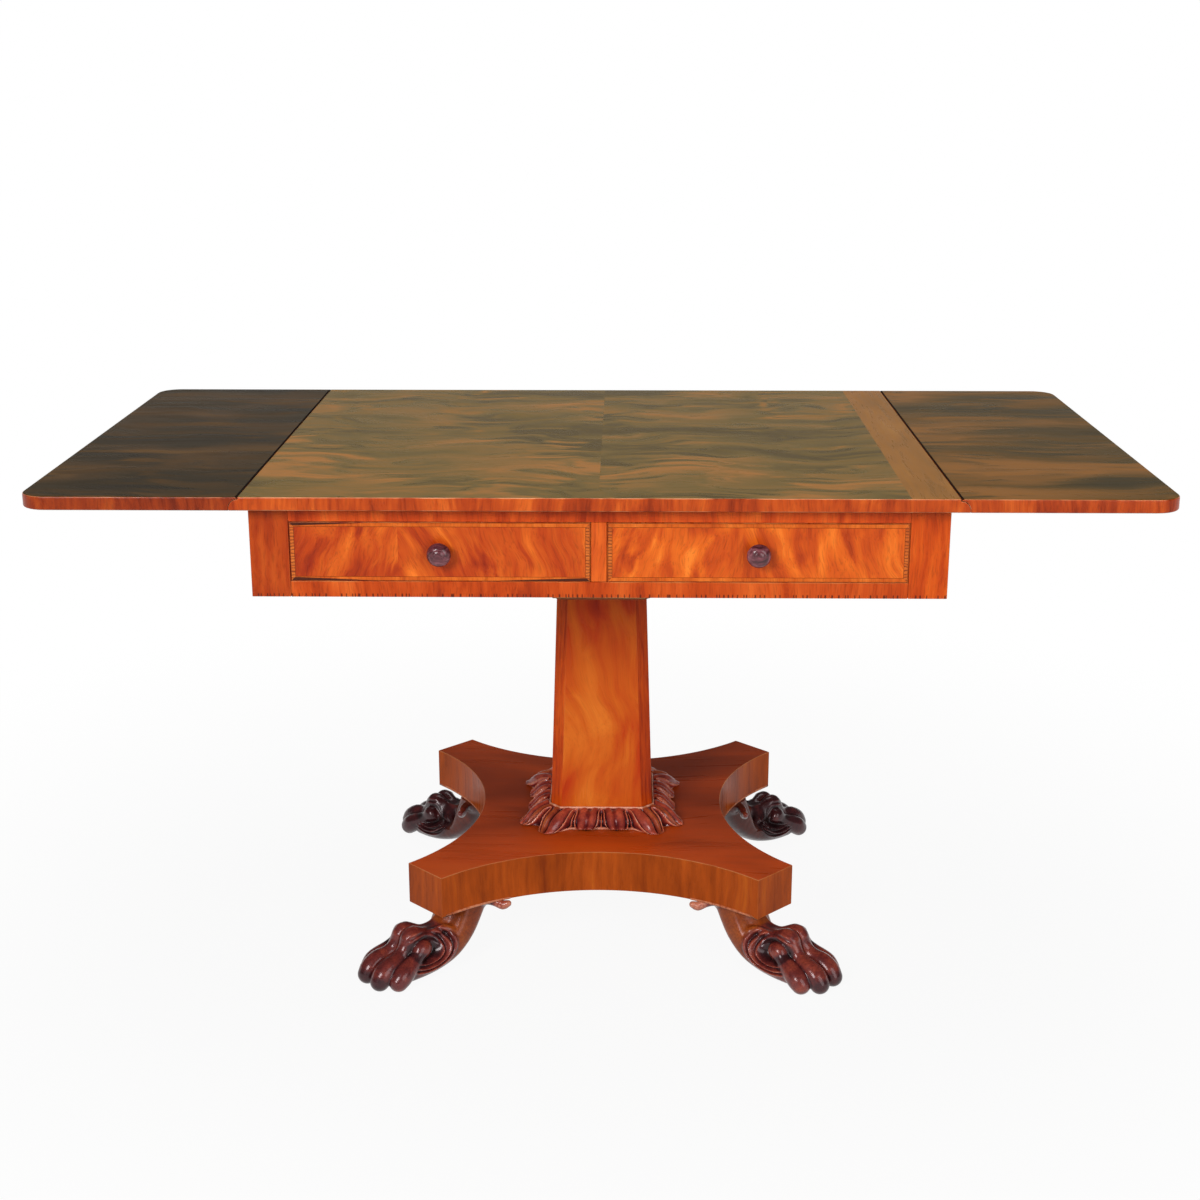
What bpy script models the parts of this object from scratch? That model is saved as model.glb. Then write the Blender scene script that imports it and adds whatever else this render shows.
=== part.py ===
"""Drop-leaf pedestal table in mahogany, with two drawers and four fly brackets.

Metres, +Z up. The origin is on the floor under the middle of the table, and the
drawers face -Y. The model stands with both leaves raised, the flies folded into
the side rails and the drawers shut.
"""
import math

import bmesh
import bpy
from mathutils import Matrix, Vector

# Driving dimensions: clearances
SEAT_GAP = 0.0003          # between pieces that touch
SLIDE_GAP = 0.0008         # round a drawer in its opening
PIN_GAP = 0.0002           # round a pin in its bore

# Driving dimensions: top, leaves and rule joint
TOP_HEIGHT = 0.729
TOP_THICK = 0.018
TOP_DEPTH = 0.768
CENTRE_LENGTH = 0.900      # from joint line to joint line
LEAF_LENGTH = 0.278        # from joint line to outer edge
LEAF_CORNER = 0.034        # plan radius of a leaf's outer corners
RULE_FILLET = 0.003        # square step above the quarter round
PIN_DEPTH = 0.003          # pin axis above the underside
RULE_CLEAR = 0.0006        # between quarter round and cove
JOINT_GAP = 0.0007         # open line between centre and leaf
EDGE_ROUND = 0.0025        # rounding of the top's outer edges
EDGE_STEPS = 2             # facets in that rounding
ARC_STEPS = 8              # facets in a quarter circle

# Driving dimensions: leaf hinges
HINGE_INSET = 0.134        # hinge centre from the front or back edge of the top
HINGE_WIDTH = 0.042
FLAP_THICK = 0.002
FIXED_FLAP = 0.036         # from pin axis to the flap's end
MOVING_FLAP = 0.050
HINGE_PIN_R = 0.0015
KNUCKLE_ROOT = 0.0046      # from pin axis to the full width of a flap

# Driving dimensions: frieze carcase
FRIEZE_HEIGHT = 0.120
FRIEZE_FRONT_SET = 0.030   # overhang of the top at front and back
FRIEZE_SIDE_SET = 0.006    # side face inside the joint line
FRAME_THICK = 0.022
STILE_WIDTH = 0.050
TOP_RAIL = 0.020
BOTTOM_RAIL = 0.021
DIVIDER_WIDTH = 0.020
TENON_LENGTH = 0.012
TENON_THICK = 0.008
TENON_SHOULDER = 0.004
RUNNER_WIDTH = 0.045
RUNNER_THICK = 0.018
GUIDE_WIDTH = 0.016
GUIDE_HEIGHT = 0.022

# Driving dimensions: fly brackets
FLY_THICK = 0.022
FLY_HEIGHT = 0.070
FLY_TOP_LENGTH = 0.142     # from pin axis to the tip under the leaf
FLY_FOOT_LENGTH = 0.080    # from pin axis to the end of the lower edge
FLY_COVE_SAG = 0.010       # hollow of the cove below its chord
FLY_KERF = 0.002           # saw cut between a fly and its rail
FLY_POST = 0.018           # length of the rail's end block
FLY_PIN_R = 0.003
KNUCKLE_STEPS = 12         # facets in a wooden knuckle's half round and in its bore

# Driving dimensions: drawers
DRAWER_LENGTH = 0.500
DRAWER_FRONT_THICK = 0.020
DRAWER_SIDE_THICK = 0.010
DRAWER_SIDE_HEIGHT = 0.066
DRAWER_BOTTOM_THICK = 0.006
DRAWER_BOTTOM_RISE = 0.008
DRAWER_GROOVE = 0.005
KNOB_R = 0.0155
KNOB_LENGTH = 0.026
KNOB_CROWN = 0.0085        # height of the domed face
KNOB_UNDER = 0.009         # height of the hollow behind the rim
KNOB_NECK_R = 0.0075
KNOB_FOOT = 0.003          # height of the ring against the drawer
KNOB_FOOT_R = 0.0105
KNOB_DOWEL_R = 0.006
KNOB_ARC = 4               # facets in the dome and in the hollow
KNOB_STEPS = 16            # facets round the knob

# Driving dimensions: bearer, column and collar
CAP_HEIGHT = 0.022
CAP_WIDTH = 0.170
CAP_CHAMFER = 0.026
BEARER_WIDTH = 0.120
BEARER_DEPTH = 0.060       # bearer's height over the column
BEARER_END = 0.004         # bearer's height at its feathered ends
BEARER_END_SET = 0.012     # bearer's ends inside the frieze
COLUMN_TOP = 0.130
COLUMN_FOOT = 0.152
COLUMN_CHAMFER = 0.016
TENON_R = 0.026
TENON_STEPS = 24
COLLAR_HEIGHT = 0.027
COLLAR_WIDTH = 0.239       # over the leaf tips, from side to side
COLLAR_CORNER_WIDTH = 0.286    # over the leaf tips, from corner to corner
COLLAR_LEAVES = 16
COLLAR_LOBE = 0.006        # how far a leaf tip stands out
COLLAR_GROOVE = 0.006      # depth of the hollow between two leaves
COLLAR_STEPS = 5           # stations to each leaf

# Driving dimensions: platform and feet
PLATFORM_TOP = 0.159
PLATFORM_THICK = 0.060
PLATFORM_REACH = 0.272     # half width over the canted corners
PLATFORM_CANT = 0.220      # where a cant starts, from the middle
PLATFORM_WAIST = 0.180     # half width at the hollow sides
FOOT_SPLAY = math.radians(42)   # foot's direction from the long axis
SHANK_WIDEN = 1.3          # shank's width against its depth
SHANK_ROOT = 0.030         # how far the shank's line runs up past the platform's underside
EAR_DROP = 0.0065          # scroll's line below the platform's underside
MIDDLE_TOE_SIDE = 0.0145   # toe's line from the foot's middle
OUTER_TOE_SIDE = 0.031
LIMB_SIDES = 3             # bevel resolution of shank, toes and scrolls
LIMB_STEPS = 2             # rings to each stretch between two points
PAD_PLACE = (0.358, 0, 0.024)      # middle of the sole's pad, outwards from the column
PAD_SIZE = (0.052, 0.040, 0.028)   # its half length, width and height
PAD_SIDES = 12

# Lines of the foot, outwards from the column: distance out, height and radius
SHANK = ((0.262, 0.106, 0.0285), (0.281, 0.079, 0.0265), (0.305, 0.056, 0.0270),
         (0.330, 0.043, 0.0235), (0.356, 0.036, 0.0230))
MIDDLE_TOE = ((0.328, 0.0570, 0.0105), (0.344, 0.0535, 0.0118), (0.3695, 0.0590, 0.0163),
              (0.3845, 0.0475, 0.0140), (0.3960, 0.0335, 0.0125), (0.4140, 0.0265, 0.0165),
              (0.4290, 0.0152, 0.0155), (0.4400, 0.0140, 0.0060))
OUTER_TOE = ((0.328, 0.0290, 0.0120), (0.345, 0.0335, 0.0145), (0.3645, 0.0400, 0.0172),
             (0.3810, 0.0280, 0.0130), (0.3960, 0.0185, 0.0155), (0.4090, 0.0144, 0.0142),
             (0.4185, 0.0135, 0.0060))
# Line of the scroll beside the foot: distance out, distance across and radius
EAR = ((0.256, 0.020, 0.0160), (0.258, 0.048, 0.0105), (0.259, 0.068, 0.0080),
       (0.259, 0.0770, 0.0040))


# Levels and lines that several pieces share
half_centre = CENTRE_LENGTH / 2
half_depth = TOP_DEPTH / 2
top_under = TOP_HEIGHT - TOP_THICK
pin_z = top_under + PIN_DEPTH
rule_radius = TOP_THICK - RULE_FILLET - PIN_DEPTH
leaf_outer = half_centre + LEAF_LENGTH
knuckle_radius = PIN_DEPTH
frieze_top = top_under - SEAT_GAP
frieze_bottom = top_under - FRIEZE_HEIGHT
frieze_x = half_centre - FRIEZE_SIDE_SET
frieze_y = half_depth - FRIEZE_FRONT_SET
frame_back = frieze_y - FRAME_THICK
stile_inner = frieze_x - STILE_WIDTH
opening_bottom = frieze_bottom + BOTTOM_RAIL
opening_top = frieze_top - TOP_RAIL
fly_rail_inner = frieze_x - FLY_THICK
fly_bottom = frieze_top - FLY_HEIGHT
fly_post_end = frame_back - SEAT_GAP - FLY_POST
fly_pin_y = fly_post_end - FLY_THICK / 2 - SEAT_GAP
bearer_top = frieze_bottom - SEAT_GAP
bearer_low = bearer_top - BEARER_DEPTH
cap_top = bearer_low - SEAT_GAP
column_top = cap_top - CAP_HEIGHT - SEAT_GAP
column_low = PLATFORM_TOP + SEAT_GAP
platform_under = PLATFORM_TOP - PLATFORM_THICK


# Clean scene, one collection for the pieces and one for the cutters
for old in list(bpy.data.objects):
    bpy.data.objects.remove(old, do_unlink=True)
PARTS = bpy.data.collections.new("drop_leaf_table")
CUTTERS = bpy.data.collections.new("cutters")
bpy.context.scene.collection.children.link(PARTS)
bpy.context.scene.collection.children.link(CUTTERS)


def finish(name, colour, roughness, metallic=0.0):
    """A Principled material with one colour."""
    made = bpy.data.materials.new(name)
    made.use_nodes = True
    shader = made.node_tree.nodes["Principled BSDF"]
    shader.inputs["Base Color"].default_value = (*colour, 1.0)
    shader.inputs["Roughness"].default_value = roughness
    shader.inputs["Metallic"].default_value = metallic
    return made


def carrier(name, place):
    """An empty on a joint's axis, which carries the pieces that move there."""
    empty = bpy.data.objects.new(name, None)
    empty.location = place
    empty.empty_display_size = 0.03
    PARTS.objects.link(empty)
    return empty


def piece(name, mesh, colour, on=None):
    """A named sub-part from a mesh in world coordinates, carried by an empty or not."""
    made = bpy.data.objects.new(name, mesh)
    mesh.name = name
    mesh.materials.clear()
    mesh.materials.append(colour)
    mesh.shade_smooth()
    mesh.set_sharp_from_angle(angle=math.radians(30))
    if on is not None:
        mesh.transform(Matrix.Translation(-Vector(on.location)))
        made.parent = on
    PARTS.objects.link(made)
    return made


def boolean(target, mesh, operation):
    """Cut a mesh out of a piece or join it on, with the tool kept as a guide."""
    tool = bpy.data.objects.new(target.name + "_tool", mesh)
    tool.hide_render = True
    tool.display_type = "WIRE"
    CUTTERS.objects.link(tool)
    step = target.modifiers.new(operation.lower(), "BOOLEAN")
    step.operation = operation
    step.object = tool


def cut(target, *meshes):
    for mesh in meshes:
        boolean(target, mesh, "DIFFERENCE")


def join(target, *meshes):
    for mesh in meshes:
        boolean(target, mesh, "UNION")


def to_mesh(work, name):
    """The mesh of a bmesh, with its faces pointing out."""
    bmesh.ops.recalc_face_normals(work, faces=work.faces)
    mesh = bpy.data.meshes.new(name)
    work.to_mesh(mesh)
    work.free()
    return mesh


def block(low, high):
    """A box between two corners, in either order."""
    low, high = Vector(low), Vector(high)
    size = high - low
    work = bmesh.new()
    place = Matrix.Translation((low + high) / 2)
    bmesh.ops.create_cube(work, size=1, matrix=place @ Matrix.Diagonal((*size, 1)))
    return to_mesh(work, "block")


def rod(radius, start, end, steps):
    """A round bar between two points."""
    start, end = Vector(start), Vector(end)
    along = end - start
    turn = along.to_track_quat("Z", "Y").to_matrix().to_4x4()
    work = bmesh.new()
    bmesh.ops.create_cone(
        work, cap_ends=True, segments=steps, radius1=radius, radius2=radius,
        depth=along.length, matrix=Matrix.Translation((start + end) / 2) @ turn)
    return to_mesh(work, "rod")


def curve_mesh(curve):
    """A curve as a closed mesh: its caps are welded to its sides."""
    guide = bpy.data.objects.new("guide", curve)
    PARTS.objects.link(guide)
    graph = bpy.context.evaluated_depsgraph_get()
    mesh = bpy.data.meshes.new_from_object(guide.evaluated_get(graph))
    bpy.data.objects.remove(guide)
    work = bmesh.new()
    work.from_mesh(mesh)
    bmesh.ops.remove_doubles(work, verts=work.verts, dist=0.000002)
    flat = math.radians(0.5)
    bmesh.ops.dissolve_limit(work, angle_limit=flat, verts=work.verts, edges=work.edges)
    return to_mesh(work, "curve")


def plate(outline, thickness, frame=None):
    """A flat outline as a plate, centred on its own plane and put in a frame."""
    curve = bpy.data.curves.new("outline", "CURVE")
    curve.dimensions = "2D"
    curve.fill_mode = "BOTH"
    curve.extrude = thickness / 2
    spline = curve.splines.new("POLY")
    spline.points.add(len(outline) - 1)
    for point, (across, up) in zip(spline.points, outline):
        point.co = (across, up, 0, 1)
    spline.use_cyclic_u = True
    mesh = curve_mesh(curve)
    if frame is not None:
        mesh.transform(frame)
    return mesh


def arc(centre, radius, start, end, steps):
    """Points along an arc, from one angle in degrees to another."""
    points = []
    for step in range(steps + 1):
        angle = math.radians(start + (end - start) * step / steps)
        points.append((centre[0] + radius * math.cos(angle),
                       centre[1] + radius * math.sin(angle)))
    return points


def arc_through(start, end, sag, steps):
    """Points along an arc between two points, bowed by sag to the left of the way."""
    start, end = Vector(start), Vector(end)
    chord = end - start
    side = Vector((-chord.y, chord.x)).normalized()
    radius = (chord.length ** 2 / 4 + sag ** 2) / (2 * sag)
    centre = (start + end) / 2 + side * (sag - radius)
    first = start - centre
    turn = 2 * math.asin(chord.length / 2 / radius)
    points = []
    for step in range(steps + 1):
        angle = -turn * step / steps
        cosine, sine = math.cos(angle), math.sin(angle)
        points.append((centre.x + first.x * cosine - first.y * sine,
                       centre.y + first.x * sine + first.y * cosine))
    return points


def facing_y(y=0.0):
    """Frame of a profile drawn in X and Z, at a place along Y."""
    return Matrix(((1, 0, 0, 0), (0, 0, -1, y), (0, 1, 0, 0), (0, 0, 0, 1)))


def facing_x(x=0.0):
    """Frame of a profile drawn in Y and Z, at a place along X."""
    return Matrix(((0, 0, 1, x), (1, 0, 0, 0), (0, 1, 0, 0), (0, 0, 0, 1)))


def facing_z(z=0.0):
    """Frame of a profile drawn in X and Y, at a height."""
    return Matrix.Translation((0, 0, z))


def mirrored(outline, side):
    """An outline on the right side, or its mirror image on the left."""
    return [(side * across, up) for across, up in outline]


def round_off(work, is_outer):
    """Round a board's upper and lower edges along its outer upright faces."""
    work.normal_update()
    level = [face for face in work.faces if abs(face.normal.z) > 0.99]
    upright = [face for face in work.faces if abs(face.normal.z) < 0.01 and is_outer(face)]
    edges = {edge for face in level for edge in face.edges}
    edges &= {edge for face in upright for edge in face.edges}
    bmesh.ops.bevel(work, geom=sorted(edges, key=lambda edge: edge.index), offset=EDGE_ROUND,
                    segments=EDGE_STEPS, profile=0.5, affect="EDGES")


show_wood = finish("polished_mahogany", (0.30, 0.085, 0.022), 0.28)
top_wood = finish("flame_mahogany_top", (0.10, 0.035, 0.012), 0.18)
carved_wood = finish("carved_mahogany", (0.085, 0.026, 0.016), 0.32)
knob_wood = finish("turned_rosewood", (0.045, 0.014, 0.014), 0.30)
raw_wood = finish("raw_cedar", (0.50, 0.22, 0.12), 0.65)
carcase_wood = finish("carcase_pine", (0.42, 0.25, 0.12), 0.70)
iron = finish("hinge_iron", (0.20, 0.18, 0.16), 0.45, 1.0)

SIDES = (("left", -1), ("right", 1))
ENDS = (("front", -1), ("back", 1))


# Centre of the top: a board whose two ends carry the quarter round of the rule joint
round_edge = arc((half_centre, pin_z), rule_radius, 90, 0, ARC_STEPS)
right_edge = [(half_centre, TOP_HEIGHT), *round_edge, (half_centre + rule_radius, top_under)]
left_edge = mirrored(reversed(right_edge), -1)
work = bmesh.new()
work.from_mesh(plate([*right_edge, *left_edge], TOP_DEPTH, facing_y()))
round_off(work, lambda face: abs(face.normal.y) > 0.99)
top_board = piece("top_board", to_mesh(work, "top_board"), top_wood)

# Leaves: one board each, coved to wrap the quarter round, with rounded outer corners
cove_radius = rule_radius + RULE_CLEAR
cove_end = math.degrees(math.acos(JOINT_GAP / cove_radius))
cove = arc((half_centre, pin_z), cove_radius, 0, cove_end, ARC_STEPS)
leaf_profile = [
    (half_centre + JOINT_GAP, TOP_HEIGHT), (leaf_outer, TOP_HEIGHT), (leaf_outer, top_under),
    (half_centre + cove_radius, top_under), *cove]
leaf_carriers = {}
leaves = {}
for side_name, side in SIDES:
    leaf_mesh = plate(mirrored(leaf_profile, side), TOP_DEPTH, facing_y())
    work = bmesh.new()
    work.from_mesh(leaf_mesh)
    corners = [
        edge for edge in work.edges
        if all(abs(vert.co.x) > leaf_outer - SEAT_GAP for vert in edge.verts)
        and abs(edge.verts[0].co.z - edge.verts[1].co.z) > TOP_THICK / 2]
    bmesh.ops.bevel(work, geom=corners, offset=LEAF_CORNER, segments=ARC_STEPS,
                    profile=0.5, affect="EDGES")
    round_off(work, lambda face: abs(face.calc_center_median().x) > half_centre + cove_radius)
    leaf_carriers[side_name] = carrier(
        f"leaf_{side_name}_axis", (side * half_centre, 0, pin_z))
    leaves[side_name] = piece(
        f"leaf_{side_name}", to_mesh(work, "leaf"), top_wood, leaf_carriers[side_name])


# Leaf hinges: two flaps let in flush, with three knuckles round an iron pin
def flap_profile(length):
    """Side view of a flap with its knuckle, outwards from the pin axis."""
    flap_top = FLAP_THICK - PIN_DEPTH
    start = math.degrees(math.asin(flap_top / knuckle_radius))
    wrap = arc((0, 0), knuckle_radius, start, 270, 2 * ARC_STEPS)
    return [(length, flap_top), *wrap, (length, -PIN_DEPTH)]


def hinge_notch(side, y, start, end, reach):
    """Room for the other flap's knuckle, cut from one side of the pin axis."""
    x = side * half_centre
    low = (x - reach, y + start, pin_z - 2 * PIN_DEPTH)
    high = (x + reach, y + end, pin_z + 2 * PIN_DEPTH)
    return block(low, high)


knuckle = HINGE_WIDTH / 6
half_hinge = HINGE_WIDTH / 2
recess_top = top_under + FLAP_THICK + SEAT_GAP
recess_y = half_hinge + SEAT_GAP
barrel = knuckle_radius + SEAT_GAP
recess_up = recess_top - pin_z
fixed_recess = [
    (-FIXED_FLAP - SEAT_GAP, -TOP_THICK), (-FIXED_FLAP - SEAT_GAP, recess_up),
    (-barrel, recess_up), (-barrel, barrel), (barrel, barrel), (barrel, recess_up),
    (2 * rule_radius, recess_up), (2 * rule_radius, -TOP_THICK)]
for side_name, side in SIDES:
    for end_name, end in ENDS:
        hinge_y = end * (half_depth - HINGE_INSET)
        axis_x = side * half_centre
        place = Matrix.Translation((axis_x, 0, pin_z)) @ facing_y(hinge_y)
        bore = (HINGE_PIN_R + PIN_GAP, (axis_x, hinge_y - HINGE_WIDTH, pin_z),
                (axis_x, hinge_y + HINGE_WIDTH, pin_z), 2 * ARC_STEPS)
        fixed = piece(
            f"hinge_fixed_{side_name}_{end_name}",
            plate(mirrored(flap_profile(FIXED_FLAP), -side), HINGE_WIDTH, place), iron)
        cut(fixed, rod(*bore),
            hinge_notch(side, hinge_y, -knuckle - SEAT_GAP, knuckle + SEAT_GAP, KNUCKLE_ROOT))
        moving = piece(
            f"hinge_moving_{side_name}_{end_name}",
            plate(mirrored(flap_profile(MOVING_FLAP), side), HINGE_WIDTH, place), iron,
            leaf_carriers[side_name])
        cut(moving, rod(*bore),
            hinge_notch(side, hinge_y, -HINGE_WIDTH, -knuckle, KNUCKLE_ROOT),
            hinge_notch(side, hinge_y, knuckle, HINGE_WIDTH, KNUCKLE_ROOT))
        piece(f"hinge_pin_{side_name}_{end_name}",
              rod(HINGE_PIN_R, (axis_x, hinge_y - half_hinge, pin_z),
                  (axis_x, hinge_y + half_hinge, pin_z), ARC_STEPS + 4), iron)
        cut(top_board, plate(mirrored(fixed_recess, side), 2 * recess_y, place))
        cut(leaves[side_name],
            block((axis_x, hinge_y - recess_y, top_under - TOP_THICK),
                  (axis_x + side * (MOVING_FLAP + SEAT_GAP), hinge_y + recess_y, recess_top)))


# Front frame of the frieze: stiles, rails and the divider, tenoned together
tenon_y = frieze_y - FRAME_THICK / 2
tenon_low = tenon_y - TENON_THICK / 2
tenon_high = tenon_y + TENON_THICK / 2
mortise_low = tenon_low - SEAT_GAP
mortise_high = tenon_high + SEAT_GAP
tenon_end = stile_inner + TENON_LENGTH
rails = {}
rail_levels = {"top": (opening_top, frieze_top), "bottom": (frieze_bottom, opening_bottom)}
for level, (low, high) in rail_levels.items():
    rail_x = stile_inner - SEAT_GAP
    rails[level] = piece(
        f"front_{level}_rail",
        block((-rail_x, -frieze_y, low), (rail_x, -frame_back, high)), show_wood)
    join(rails[level],
         block((-tenon_end, -tenon_high, low + TENON_SHOULDER),
               (tenon_end, -tenon_low, high - TENON_SHOULDER)))
for side_name, side in SIDES:
    stile = piece(
        f"front_stile_{side_name}",
        block((side * stile_inner, -frieze_y, frieze_bottom),
              (side * frieze_x, -frame_back, frieze_top)), show_wood)
    for low, high in rail_levels.values():
        cut(stile,
            block((0, -mortise_high, low + TENON_SHOULDER - SEAT_GAP),
                  (side * (tenon_end + SEAT_GAP), -mortise_low,
                   high - TENON_SHOULDER + SEAT_GAP)))

divider_x = DIVIDER_WIDTH / 2
divider_tenon_x = divider_x - TENON_SHOULDER
divider = piece(
    "drawer_divider",
    block((-divider_x, -frieze_y, opening_bottom + SEAT_GAP),
          (divider_x, -frame_back, opening_top - SEAT_GAP)), show_wood)
divider_low = opening_bottom - TENON_LENGTH
divider_high = opening_top + TENON_LENGTH
join(divider, block((-divider_tenon_x, -tenon_high, divider_low),
                    (divider_tenon_x, -tenon_low, divider_high)))
for rail in rails.values():
    cut(rail, block((-divider_tenon_x - SEAT_GAP, -mortise_high, divider_low - SEAT_GAP),
                    (divider_tenon_x + SEAT_GAP, -mortise_low, divider_high + SEAT_GAP)))

# Back and inner sides of the carcase
piece("back_rail",
      block((-frieze_x, frame_back, frieze_bottom), (frieze_x, frieze_y, frieze_top)), show_wood)
side_y = frame_back - SEAT_GAP
for side_name, side in SIDES:
    piece(f"side_rail_{side_name}",
          block((side * stile_inner, -side_y, frieze_bottom),
                (side * (fly_rail_inner - SEAT_GAP), side_y, frieze_top)), carcase_wood)


# Fly brackets, sawn from the same board as the outer side rail and hung on a wooden
# knuckle joint: two knuckles of the rail hold one of the fly on an iron pin
cove_line = arc_through((FLY_FOOT_LENGTH, fly_bottom), (FLY_TOP_LENGTH, frieze_top),
                        -FLY_COVE_SAG, ARC_STEPS)
shoulder = FLY_THICK / 2 + SEAT_GAP
knuckle_step = FLY_HEIGHT / 3
knuckle_low = fly_bottom + knuckle_step
knuckle_high = frieze_top - knuckle_step
fly_floor = fly_bottom - SEAT_GAP


def knuckle_block(x, y, reach, low, high):
    """A wooden knuckle: round about the pin, with a square root towards reach."""
    half = FLY_THICK / 2
    turn = 90 if reach < 0 else -90
    outline = [(-half, reach), (half, reach)] if reach < 0 else [(half, reach), (-half, reach)]
    outline += arc((0, 0), half, turn - 90, turn + 90, KNUCKLE_STEPS)
    frame = Matrix.Translation((x, y, (low + high) / 2))
    return plate(outline, high - low, frame)


for side_name, side in SIDES:
    rail_outline = [(-side_y, frieze_bottom), (side_y, frieze_bottom)]
    saw_line = [(fly_pin_y - along - FLY_KERF, up) for along, up in cove_line]
    for end in (1, -1):
        stepped = [
            (side_y, frieze_top), (fly_post_end, frieze_top), (fly_post_end, fly_floor),
            (saw_line[0][0], fly_floor), *saw_line]
        rail_outline += stepped if end > 0 else [(-y, z) for y, z in reversed(stepped)]
    rail_x = side * (fly_rail_inner + frieze_x) / 2
    fly_rail = piece(
        f"fly_rail_{side_name}", plate(rail_outline, FLY_THICK, facing_x(rail_x)), show_wood)
    for end_name, end in ENDS:
        pin_y = end * fly_pin_y
        root = end * (fly_post_end - fly_pin_y + SEAT_GAP)
        join(fly_rail,
             knuckle_block(rail_x, pin_y, root, fly_floor - SEAT_GAP, knuckle_low - SEAT_GAP),
             knuckle_block(rail_x, pin_y, root, knuckle_high + SEAT_GAP, frieze_top))
        pin_start = (rail_x, pin_y, fly_bottom)
        pin_end = (rail_x, pin_y, frieze_top)
        bore_start = (rail_x, pin_y, fly_bottom - SEAT_GAP)
        bore_end = (rail_x, pin_y, TOP_HEIGHT)
        bore = rod(FLY_PIN_R + PIN_GAP, bore_start, bore_end, KNUCKLE_STEPS)
        cut(fly_rail, bore)
        piece(f"fly_pin_{side_name}_{end_name}",
              rod(FLY_PIN_R, pin_start, pin_end, KNUCKLE_STEPS), iron)
        fly_outline = [(shoulder, fly_bottom), *cove_line, (shoulder, frieze_top)]
        fly_mesh = plate([(-end * along, up) for along, up in fly_outline], FLY_THICK,
                         Matrix.Translation((0, pin_y, 0)) @ facing_x(rail_x))
        axis = carrier(f"fly_{side_name}_{end_name}_axis", (rail_x, pin_y, fly_bottom))
        fly = piece(f"fly_{side_name}_{end_name}", fly_mesh, raw_wood, axis)
        join(fly, knuckle_block(rail_x, pin_y, -end * (shoulder + SEAT_GAP),
                                knuckle_low, knuckle_high))
        cut(fly, bore.copy())


# Drawer runners: one at each side, and a wide one in the middle with a guide strip
runner_top = opening_bottom - SEAT_GAP
runner_low = runner_top - RUNNER_THICK
for side_name, side in SIDES:
    runner_outer = stile_inner - SEAT_GAP
    piece(f"drawer_runner_{side_name}",
          block((side * (runner_outer - RUNNER_WIDTH), -side_y, runner_low),
                (side * runner_outer, side_y, runner_top)), carcase_wood)
middle_runner = piece(
    "drawer_runner_centre",
    block((-RUNNER_WIDTH, -side_y, runner_low), (RUNNER_WIDTH, side_y, runner_top)),
    carcase_wood)
join(middle_runner,
     block((-GUIDE_WIDTH / 2, -side_y, runner_low),
           (GUIDE_WIDTH / 2, side_y, runner_top + GUIDE_HEIGHT)))


# Drawers: a flush front with a turned knob, two grooved sides, a back and a bottom
def knob(name, place, on):
    """A mushroom knob with its dowel, turned about the line into the drawer front."""
    rim = KNOB_LENGTH - KNOB_CROWN
    dome = [(KNOB_R * across, rim + KNOB_CROWN * up)
            for across, up in arc((0, 0), 1, 90, 0, KNOB_ARC)]
    hollow = [(KNOB_NECK_R + (KNOB_R - KNOB_NECK_R) * (1 - up), rim - KNOB_UNDER * (1 - across))
              for across, up in arc((0, 0), 1, 0, 90, KNOB_ARC)[1:]]
    foot = [(KNOB_NECK_R, KNOB_FOOT), (KNOB_FOOT_R, KNOB_FOOT), (KNOB_FOOT_R, SEAT_GAP)]
    dowel = [(KNOB_DOWEL_R, SEAT_GAP), (KNOB_DOWEL_R, -DRAWER_FRONT_THICK),
             (0.0, -DRAWER_FRONT_THICK)]
    profile = [*dome, *hollow, *foot, *dowel]
    work = bmesh.new()
    points = [work.verts.new((radius, 0, along)) for radius, along in profile]
    for first, second in zip(points, points[1:]):
        work.edges.new((first, second))
    mesh = bpy.data.meshes.new(name)
    work.to_mesh(mesh)
    work.free()
    made = bpy.data.objects.new(name, mesh)
    mesh.materials.append(knob_wood)
    made.parent = on
    made.location = Vector(place) - Vector(on.location)
    made.rotation_euler = (math.radians(90), 0, 0)
    screw = made.modifiers.new("turned", "SCREW")
    screw.steps = screw.render_steps = KNOB_STEPS
    screw.use_merge_vertices = True
    screw.merge_threshold = 0.00005
    PARTS.objects.link(made)


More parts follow.
